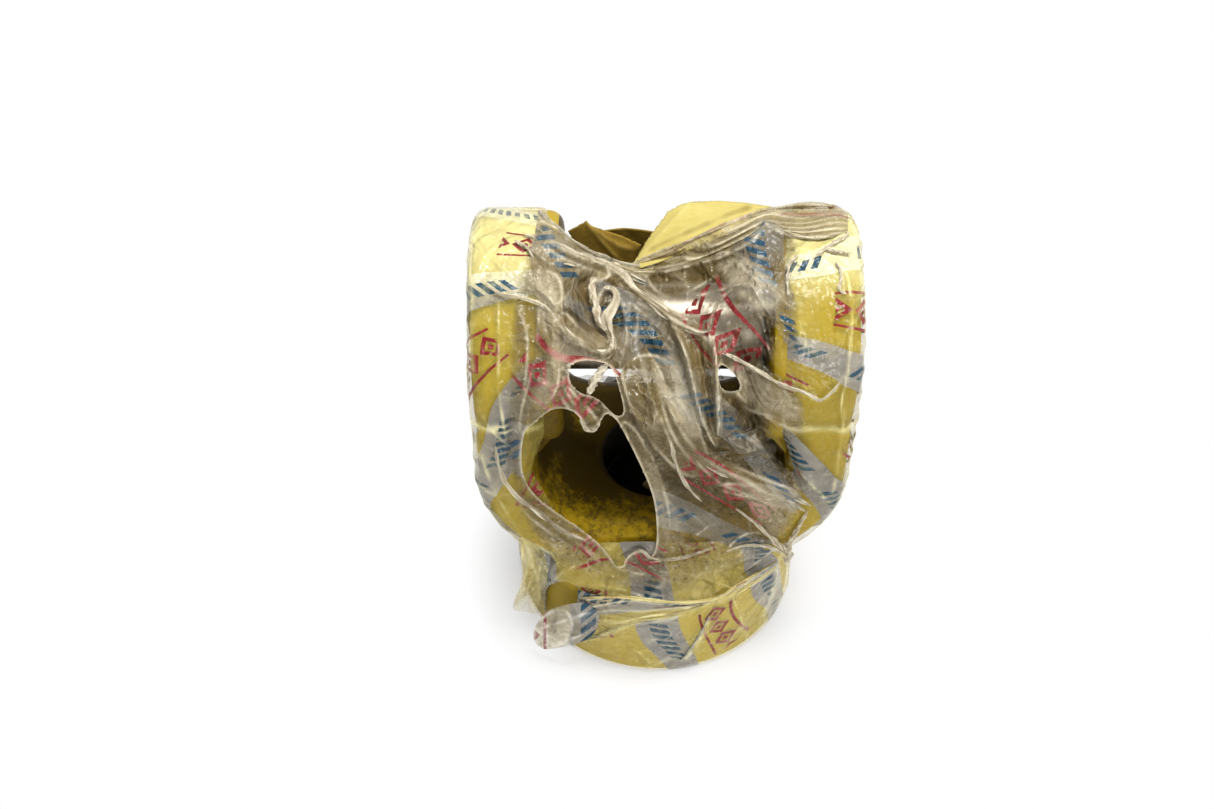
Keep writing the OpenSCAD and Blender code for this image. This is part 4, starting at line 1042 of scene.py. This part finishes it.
# pleated film: a sheet between two lines of pixels, raised in sharp ridges that run along it and wander,
# paler on their crests partly as a painted highlight, with painted shade in the hollows between them
def pleatPart(place, upper, lower, ridges, rise, seed, layer=0.16):
    rng = np.random.default_rng(seed)
    p = pleatLook
    top, low = (evenly(soften(k, 2), p["steps"]) for k in (upper, lower))
    t = np.linspace(0, 1, p["across"] * ridges)[None, :]
    run = np.linspace(0, 1, p["steps"])[:, None]
    wander = 0.6 * np.sin(6 * run + 3 * t + rng.uniform(0, 6))
    wander = wander + 0.3 * np.sin(17 * run + 5 * t + rng.uniform(0, 6))
    wave = np.abs(np.sin(np.pi * (ridges * t ** 1.3 + wander)))
    line = top[:, None] + (low - top)[:, None] * t[..., None]
    base = place(line[..., 0], line[..., 1])
    grown = np.sqrt(np.clip(np.minimum(run, 1 - run) * 12, 0, 1)) * (0.7 + 0.3 * np.sin(11 * run + 5 * t))
    height = rise * (wave ** 0.7 * grown + 0.8 * np.sin(np.pi * t) * grown) + p["foot"]
    mapping = np.stack(np.broadcast_arrays(p["mapWide"] * t + p["mapShift"] * seed, p["mapLong"] * run), -1)
    fold = 0.75 * np.clip(1.3 * wave ** 5 - 0.45, 0, 1) * grown
    # painted shade in the hollows between the ridges
    marks = dict(fold=fold, dirtAndShade=(1 - wave) ** 1.5, layer=layer * grown)
    return gridPart(lifted(base, height), mapping, marks, None, False, True)


# the rope: one pleated sheet to the right, one fan to the left, and a few strands along their edges
def ropeParts(seed):
    rng = np.random.default_rng(seed)
    r = ropeFilm
    made = [pleatPart(ropePlace, r["upper"], r["lower"], 4, 1.1, seed),
            pleatPart(ropePlace, r["left"], r["fan"], 4, 0.9, seed + 1)]
    for k, (line, thick) in enumerate(r["strands"]):
        uneven = thick * rng.uniform(0.7, 1.3, 7)
        path = strandPath(ropePlace, line, 1.0)
        made.append(strandPart(path, uneven, seed + 20 + k, flatness=0.7, twist=2, pale=0.7, across=14))
    return made


rope = makePiece("filmRope", ropeParts(51), ropeFinish, ("film_rope",))
print("rope made")

# film round the boss, in mm; shares of its height, and in pixels the place where it is torn off
skirtFilm = dict(radius=53.2, foot=1.2, rim=39.5, rimRadius=6.6, halfX=52.0, halfY=40.4, top=63.0,
                 power=7.0, rimShare=0.52, overShare=0.68, overTurn=55.0, looseFrom=0.45, cols=760, rows=90,
                 creaseSize=8.0, pleatSize=15.0, mapWide=287.0, mapTall=85.0, mapTurn=117.0, mapShift=30.7,
                 sway=5.0, swaySize=38.0,
                 bare=[(546, 590), (551, 583), (566, 581), (578, 586), (582, 598), (583, 608), (566, 612),
                       (546, 616), (545, 602)])
waistLines = [
    [(580, 598), (620, 597), (650, 600), (680, 603), (700, 602), (720, 598), (732, 589), (745, 580),
     (762, 571), (776, 561)],
    [(582, 640), (600, 636), (616, 628), (640, 620), (662, 618), (682, 612), (705, 605)],
    [(680, 662), (690, 650), (700, 635), (710, 615)],
]
skirtFolds = [
    (waistLines[0], 1.6, 4, 0.85),
    (waistLines[1], 1.4, 4, 0.7),
    (waistLines[2], 1.4, 4, 0.9),
    ([(545, 590), (560, 575), (580, 560)], 1.0, 5, 0.5),
    ([(590, 605), (612, 612), (640, 618)], -1.2, 5, 0.0),
    ([(728, 590), (738, 610), (746, 640)], 0.9, 4, 0.5),
    ([(776, 560), (770, 590), (758, 620)], 1.2, 4, 0.6),
    ([(782, 560), (786, 585), (780, 600)], 1.2, 4, 0.6),
    ([(620, 570), (645, 566), (668, 572)], 1.0, 3, 0.7),
    ([(600, 585), (625, 590), (648, 598)], 0.9, 3, 0.6),
    ([(630, 645), (645, 655), (655, 668)], 0.8, 4, 0.45),
    ([(735, 590), (700, 575), (665, 570)], 0.8, 4, 0.4),
    # the last two have no rise and no whiteness: bands of painted shade only, below the bar and under the
    # waist fold
    ([(590, 570), (640, 580), (700, 588), (742, 572)], 0.0, 15, 0.0),
    ([(600, 612), (650, 610), (690, 603)], 0.0, 7, 0.0),
]


# film round the boss: up its side, over its rim and on to the bar, whose outline is a rounded rectangle
def skirtPart(seed):
    k = skirtFilm
    a = np.linspace(0, 2 * np.pi, k["cols"], endpoint=False)[None, :]
    t = np.linspace(0, 1, k["rows"])[:, None]
    square = (np.abs(np.cos(a)) / k["halfX"]) ** k["power"] + (np.abs(np.sin(a)) / k["halfY"]) ** k["power"]
    barR = square ** (-1 / k["power"])
    up = np.clip(t / k["rimShare"], 0, 1)
    over = np.clip((t - k["rimShare"]) / (k["overShare"] - k["rimShare"]), 0, 1)
    over = over * math.radians(k["overTurn"])
    slope = np.clip((t - k["overShare"]) / (1 - k["overShare"]), 0, 1)
    r = k["radius"] - k["rimRadius"] * (1 - np.cos(over)) + 0 * a
    z = k["foot"] + (k["rim"] - k["foot"]) * up + k["rimRadius"] * np.sin(over) + 0 * a
    r = r + (barR - r) * slope ** 0.8
    z = z + (k["top"] - z) * slope ** 1.1
    base = np.stack([r * np.cos(a), r * np.sin(a), z], -1)
    u, v = toPixel(base)
    front = np.sin(a) * np.ones(r.shape) < -0.05
    rise, white, dirtAndShade = (mark * front for mark in foldRelief(u, v, skirtFolds))
    creases = crinkle(base * np.array([1, 1, 0.45]), k["creaseSize"], seed, 4)
    pleats = crinkle(base, k["pleatSize"], seed + 3, 3)
    loose = np.clip((t - k["looseFrom"]) * 4, 0, 1) * np.ones(r.shape)
    lift = rise + (0.3 + 0.7 * loose) * creases + (0.3 + 0.9 * loose) * pleats
    lift = lift + (0.3 + 0.5 * loose) * np.maximum(0, swell(base, 20.0, seed + 1))
    lift = lift * np.clip(t * 12, 0.15, 1)
    n = gridNormals(np.concatenate([base[:, -2:], base, base[:, :2]], 1))[:, 2:-2]
    points = base - lift[..., None] * n
    bare = insideOf(u, v, soften(k["bare"], 2, True)) & front
    keep = ~(bare & np.roll(bare, -1, 1))[:-1]
    wide = np.linspace(0, 1, k["cols"] + 1)[None, :] + 0 * t
    tall = t * k["mapTall"] + 0 * wide
    mapping = np.stack([k["mapWide"] * wide + 0.18 * tall + k["mapShift"],
                        0.9 * tall - k["mapTurn"] * wide], -1)
    looped = np.concatenate([base, base[:, :1]], 1)
    mapping = swayed(mapping, looped, k["sway"], k["swaySize"], seed + 6)
    fold = np.clip(np.maximum(white, 0.55 * creases ** 2 + 0.5 * pleats ** 2), 0, 1)
    dirtAndShade = np.maximum(dirtAndShade, 0.6 * loose * np.clip(0.25 + 1.2 * swell(base, 15.0, seed + 9), 0, 1))
    return gridPart(points, mapping, dict(fold=fold, dirtAndShade=dirtAndShade), keep, True, True)


# the film's fold round the waist: between two lines of pixels, with strands as in webStrands
waistFold = dict(
    upper=[(578, 590), (600, 596), (640, 600), (680, 604), (708, 601), (735, 588), (760, 573), (778, 561)],
    lower=[(574, 638), (600, 634), (640, 622), (680, 614), (706, 607), (738, 594), (762, 580), (780, 566)],
    strands=[(waistLines[0], (0.3, 0.5, 0.6, 0.5, 0.5, 0.4), 2.0),
             (waistLines[1], (0.5, 0.8, 0.7, 0.5, 0.3), 2.0),
             (waistLines[2], (0.3, 0.5, 0.4, 0.3), 1.0)],
    off=0.8, start=-50.0)


# place on the boss at a pixel: its round, found by a few steps along the pixel's ray
def bossPlace(u, v):
    r = skirtFilm["radius"] + waistFold["off"]
    p = onDepth(u, v, np.full(np.shape(u), waistFold["start"]))
    for _ in range(5):
        p = onDepth(u, v, -np.sqrt(np.maximum(r ** 2 - p[..., 0] ** 2, 100)))
    return p


waistParts = [pleatPart(bossPlace, waistFold["upper"], waistFold["lower"], 3, 1.0, 77, 0.3)]
waistParts += strandParts(bossPlace, waistFold["strands"], 80)
skirt = makePiece("filmSkirt", [skirtPart(71)] + waistParts, skirtFinish,
                  ("film_boss_band", "film_front_apron", "film_back_apron"))
print("skirt made")

# film behind the slot; gaps are torn arches of its foot, as place, half width and rise
backFilm = dict(half=48.0, low=61.0, top=135.0, depth=40.3, rows=120, cols=130, middle=98.0, axis=131.0,
                sag=8.0, sagHalf=40.0, hollow=5.0, hollowAt=(95, 112), hollowHalf=(42, 33), topBend=95.0,
                fadeWidth=4.0, creaseSize=10.0, drawnSize=13.0, sway=8.0, swaySize=34.0,
                gaps=[(-21.0, 12.0, 17.0), (30.0, 7.0, 11.0)])


# film behind the slot: drawn across the ears' backs, hollow between them, with folds that fan out to the
# ears, torn at its foot and sagging at the top; painted shade lies in the hollows between the drawn folds
def backPart(seed):
    b = backFilm
    x = np.linspace(-b["half"], b["half"], b["cols"])[:, None]
    s = np.linspace(0, 1, b["rows"])[None, :]
    torn = b["low"] + 3.0 * np.sin(x * 0.19 + 0.6) + 0.9 * np.sin(x * 0.47 + 0.002 * x ** 2)
    for place, width, rise in b["gaps"]:
        torn = torn + rise * np.exp(-np.abs((x - place) / width) ** 2.4)
    crest = b["top"] - b["sag"] * np.clip(1 - (x / b["sagHalf"]) ** 2, 0, 1)
    crest = crest + 1.6 * np.sin(x * 0.13 + 1.1) + 0.6 * np.sin(x * 0.29 + 0.004 * x ** 2)
    z = torn + (crest - torn) * s
    between = np.clip(1 - (x / np.interp(z, b["hollowAt"], b["hollowHalf"])) ** 2, 0, 1)
    y = b["depth"] - b["hollow"] * between * np.sin(np.pi * s) ** 0.7
    y = y - np.maximum(0, z - b["axis"]) ** 2 / b["topBend"]
    base = np.stack([x + 0 * z, y, z], -1)
    creases = crinkle(base, b["creaseSize"], seed)
    fan = np.stack([0.12 * x + 0 * z, 0 * z, z + 0.010 * np.abs(x) * (b["middle"] - z)], -1)
    drawn = crinkle(fan, b["drawnSize"], seed + 3, 3)
    edge = np.exp(-(s * 30)) + np.exp(-((1 - s) * 30)) + 0 * x
    lift = 0.7 * creases + 2.2 * drawn + 0.6 * np.maximum(0, swell(base, 18.0, seed + 1)) + 0.6 * edge
    points = base + lift[..., None] * np.array([0, 1, 0.15])
    mapping = np.stack([0.8 * x + 0.6 * z, 0.8 * z - 0.6 * x], -1)
    mapping = swayed(mapping, base, b["sway"], b["swaySize"], seed + 6)
    fade = np.clip((b["half"] - np.abs(x)) / b["fadeWidth"], 0, 1) + 0 * z
    fold = np.clip(np.maximum(0.3 * creases ** 2 + 0.7 * edge, 1.3 * drawn ** 3), 0, 1)
    # painted shade in the hollows between the drawn folds
    marks = dict(fold=fold, fade=fade, dirtAndShade=0.8 * (1 - drawn) ** 6)
    return gridPart(points, mapping, marks, None, False, True)


backWeb = makePiece("filmBackWeb", [backPart(91)], backFinish, ("film_back_web",))

# loose film at the lower left; waves as rise in mm and its steps across and down, per pixel
tailFilm = dict(
    outline=[(523, 535), (534, 538), (548, 548), (551, 562), (546, 578), (549, 592), (547, 604), (550, 614),
             (541, 609), (536, 616), (527, 611), (512, 611), (514, 600), (521, 586), (524, 566),
             (520, 550)],
    folds=[([(527, 540), (531, 556), (536, 574), (539, 592), (545, 611)], 1.4, 4, 0.8),
           ([(545, 550), (540, 566), (538, 582), (528, 596), (518, 608)], 1.1, 3, 0.7),
           ([(524, 552), (527, 572), (520, 590)], 0.9, 3, 0.6),
           ([(530, 598), (536, 612)], 0.8, 3, 0.7)],
    layers=[([(521, 540), (529, 548), (533, 570), (528, 592), (518, 606), (512, 604), (521, 584),
              (524, 564)], 0.35)],
    waves=[(1.4, 0.33, 0.099), (0.8, 0.21, -0.105)], depth=-34.5, lean=0.55, root=-40.0,
    mapTurn=15, mapShift=38.0)
stripFilm = dict(
    outline=[(547, 611), (560, 606), (580, 602), (590, 604), (600, 612), (598, 628), (588, 640), (572, 645),
             (558, 648), (542, 650), (533, 640), (534, 628), (541, 618)],
    folds=[([(536, 630), (560, 622), (592, 612)], 1.4, 5, 0.6),
           ([(545, 646), (570, 640), (590, 630)], 1.0, 4, 0.6),
           ([(543, 620), (548, 634), (545, 648)], 1.0, 4, 0.7)],
    layers=[([(534, 628), (548, 612), (566, 608), (574, 626), (566, 644), (545, 650), (534, 642)], 0.5)],
    waves=[(1.2, -0.084, 0.21)], near=-48.0, depth=-52.9, turn=0.268, root=-14.0,
    curl=2.2, curlFrom=24.0, curlLength=22.0, mapTurn=0, mapShift=58.1)


# sum of sine waves across a picture
def pixelWaves(u, v, waves):
    return sum(rise * np.sin(u * across + v * down) for rise, across, down in waves)


# hanging tail: a waved upright sheet that leaves the boss at its root and bends back round it
def tailPlace(u, v):
    k = tailFilm
    x = onDepth(u, v, np.full(u.shape, k["depth"]))[..., 0]
    back = k["lean"] * np.maximum(0, k["root"] - x)
    return onDepth(u, v, k["depth"] + back + pixelWaves(u, v, k["waves"]))


# torn strip: an upright sheet that leaves the boss at its root and curls forward
def stripPlace(u, v):
    k = stripFilm
    x = onDepth(u, v, np.full(u.shape, k["near"]))[..., 0]
    curl = k["curl"] * np.sin(np.pi * np.clip((-x - k["curlFrom"]) / k["curlLength"], 0, 1))
    return onDepth(u, v, k["depth"] + k["turn"] * (k["root"] - x) - curl + pixelWaves(u, v, k["waves"]))


# loose piece of film: one sheet cut to its own outline
def loosePart(film, place, seed):
    mapOf = turnedMap(film["mapTurn"], film["mapShift"])
    return pixelSheet(place, film["outline"], [], 1.0, film["folds"], mapOf, seed, layers=film["layers"])


sideTail = makePiece("filmSideTail", [loosePart(tailFilm, tailPlace, 31)], skirtFinish,
                     ("film_side_tail",))
tornStrip = makePiece("filmTornStrip", [loosePart(stripFilm, stripPlace, 32)], stripFinish,
                      ("film_torn_strip",))
print("loose film made")

# packing paper; levels and depths in mm
rightFlapLook = dict(
    outline=[(634, 262), (650, 236), (668, 212), (680, 205), (692, 202), (720, 201), (745, 203), (772, 207),
             (766, 216), (740, 228), (700, 246), (660, 262), (640, 268)],
    creases=[([(640, 258), (662, 232), (690, 204)], 0.9, 4, 0.7),
             ([(652, 246), (700, 224), (760, 210)], 0.7, 5, 0.5),
             ([(690, 204), (720, 214), (735, 226)], 0.6, 5, 0.4),
             # the last crease has no rise and no whiteness: a line of painted shade along the flap's lower
             # edge
             ([(636, 257), (670, 240), (700, 227), (735, 212), (766, 203)], 0.0, 6, 0.0)],
    step=1.5, start=153.0, level=149.5, rise=5.0, riseFrom=-12.0, riseLength=18.0, lean=0.05, leanFrom=12.0)
leftFlapLook = dict(
    outline=[(568, 231), (578, 226), (586, 221), (592, 226), (606, 231), (622, 236), (641, 245), (636, 254),
             (631, 268), (612, 265), (592, 257), (576, 243)],
    creases=[([(586, 222), (600, 240), (620, 262)], 0.6, 3, 0.5),
             ([(592, 227), (615, 245), (634, 250)], 0.5, 3, 0.4)],
    step=1.2, depth=16.7, lean=0.05, foot=262)
paperWall = 0.0003


# right flap: a sheet that rises from the rope to the right and a little to the back
def rightPlace(u, v):
    k = rightFlapLook
    p = onLevel(u, v, np.full(u.shape, k["start"]))
    for _ in range(4):
        rise = k["rise"] * np.clip((p[..., 0] - k["riseFrom"]) / k["riseLength"], 0, 1)
        p = onLevel(u, v, k["level"] + rise + k["lean"] * (p[..., 1] - k["leanFrom"]))
    return p


# left flap: an upright sheet, leaning back a little towards its peak
def leftPlace(u, v):
    return onDepth(u, v, leftFlapLook["depth"] + leftFlapLook["lean"] * (leftFlapLook["foot"] - v))


# flap: one sheet cut to its own outline, its corners left sharp
def flapPart(look, place, seed):
    return pixelSheet(place, look["outline"], [], look["step"], look["creases"], turnedMap(0), seed,
                      bumpy=(0.3, 0.4), rounds=0)


rightFlap = makePiece("paperRightFlap", [flapPart(rightFlapLook, rightPlace, 41)], paperFace,
                      ("paper_right_flap",))
leftFlap = makePiece("paperLeftFlap", [flapPart(leftFlapLook, leftPlace, 42)], paperShade,
                     ("paper_left_flap",))
backSheet = dict(half=32.6, low=81.0, top=145.5, depth=30.3, rows=90, cols=90, creaseSize=16.0,
                 swellSize=25.0)


# back sheet: a hanging sheet with slow waves and hand creases, its edges a little wavy
def backSheetPart(seed):
    b = backSheet
    x = np.linspace(-1, 1, b["cols"])[:, None]
    s = np.linspace(0, 1, b["rows"])[None, :]
    foot = b["low"] + 1.5 * np.sin(3 * x + 1)
    z = foot + (b["top"] - 2 * np.sin(4 * x) - foot) * s
    base = np.stack([x * (b["half"] - 0.6 * np.sin(7 * s)), b["depth"] + 0 * z, z], -1)
    creases = crinkle(base, b["creaseSize"], seed, 3)
    lift = 0.9 * swell(base, b["swellSize"], seed + 1) + 0.8 * creases
    points = base + lift[..., None] * np.array([0, 1, 0])
    marks = dict(fold=np.clip(0.7 * creases ** 2, 0, 1))
    return gridPart(points, base[..., [0, 2]], marks, None, False, True)


paperBack = makePiece("paperBackSheet", [backSheetPart(61)], paperShade,
                      ("paper_back_sheet",))
# each paper gets two faces, as far apart as the paper is thick
for obj in (rightFlap, leftFlap, paperBack):
    wall = obj.modifiers.new("paperWall", "SOLIDIFY")
    wall.thickness = paperWall
    wall.offset = 0
print("paper made")

# floor, light and background; lamps as name, place, size and power
stageLook = dict(size=6.0, tone=0.8, glowFrom=(0.030, 0.075), roughness=0.9, ambient=0.17,
                 aim=(0, 0, 0.09))
lamps = [("topLamp", (0.10, 0.0, 0.9), 0.36, 9.9), ("frontLamp", (0.26, -0.92, 0.32), 0.36, 4.8),
         ("leftLamp", (-0.9, -0.12, 0.3), 0.9, 3.5), ("rightLamp", (0.9, -0.12, 0.3), 0.9, 3.5)]
floorMesh = bpy.data.meshes.new("floor")
half = stageLook["size"] / 2
floorCorners = [(-half, -half, 0), (half, -half, 0), (half, half, 0), (-half, half, 0)]
floorMesh.from_pydata(floorCorners, [], [(0, 1, 2, 3)])
floor = bpy.data.objects.new("floor", floorMesh)
scene.collection.objects.link(floor)


# rays that should see a white background: from the camera, and those that film and metal send on
def seenRays(tree):
    path = addNode(tree, "ShaderNodeLightPath")
    return most(*(path.outputs[k] for k in ("Is Camera Ray", "Is Transmission Ray", "Is Glossy Ray")))


# pale floor: its own tone with the shadow near the part, which gives way to an even white farther out
def floorFinish():
    made, tree, shader, coords = newFinish("paleFloor")
    x, y, _ = partsOf(coords)
    glow = times(seenRays(tree), ramp(lengthOf(x, y), *stageLook["glowFrom"]))
    colour = tone(glow, [stageLook["tone"]] * 3, (0, 0, 0))
    feed(shader, {"Base Color": colour, "Roughness": stageLook["roughness"],
                  "Specular IOR Level": calc("SUBTRACT", 0.5, glow, True),
                  "Emission Color": (1, 1, 1, 1), "Emission Strength": glow})
    return made


floorMesh.materials.append(floorFinish())
world = bpy.data.worlds.new("studio")
scene.world = world
world.use_nodes = True
seen = seenRays(world.node_tree)
level = plus(times(seen, 1 - stageLook["ambient"]), stageLook["ambient"])
feed(world.node_tree.nodes["Background"], {"Color": (1, 1, 1, 1), "Strength": level})


# soft lamp: a square panel that faces the part
def addLamp(name, place, size, power):
    data = bpy.data.lights.new(name, "AREA")
    data.size, data.energy = size, power
    lamp = bpy.data.objects.new(name, data)
    lamp.location = place
    aim = np.array(stageLook["aim"]) - np.array(place)
    yaw, lean = math.atan2(aim[0], -aim[1]), math.atan2(math.hypot(aim[0], aim[1]), -aim[2])
    lamp.rotation_euler = (lean, 0, yaw + math.pi)
    scene.collection.objects.link(lamp)


for lampLook in lamps:
    addLamp(*lampLook)
scene.view_settings.view_transform = "Standard"
print("stage set")
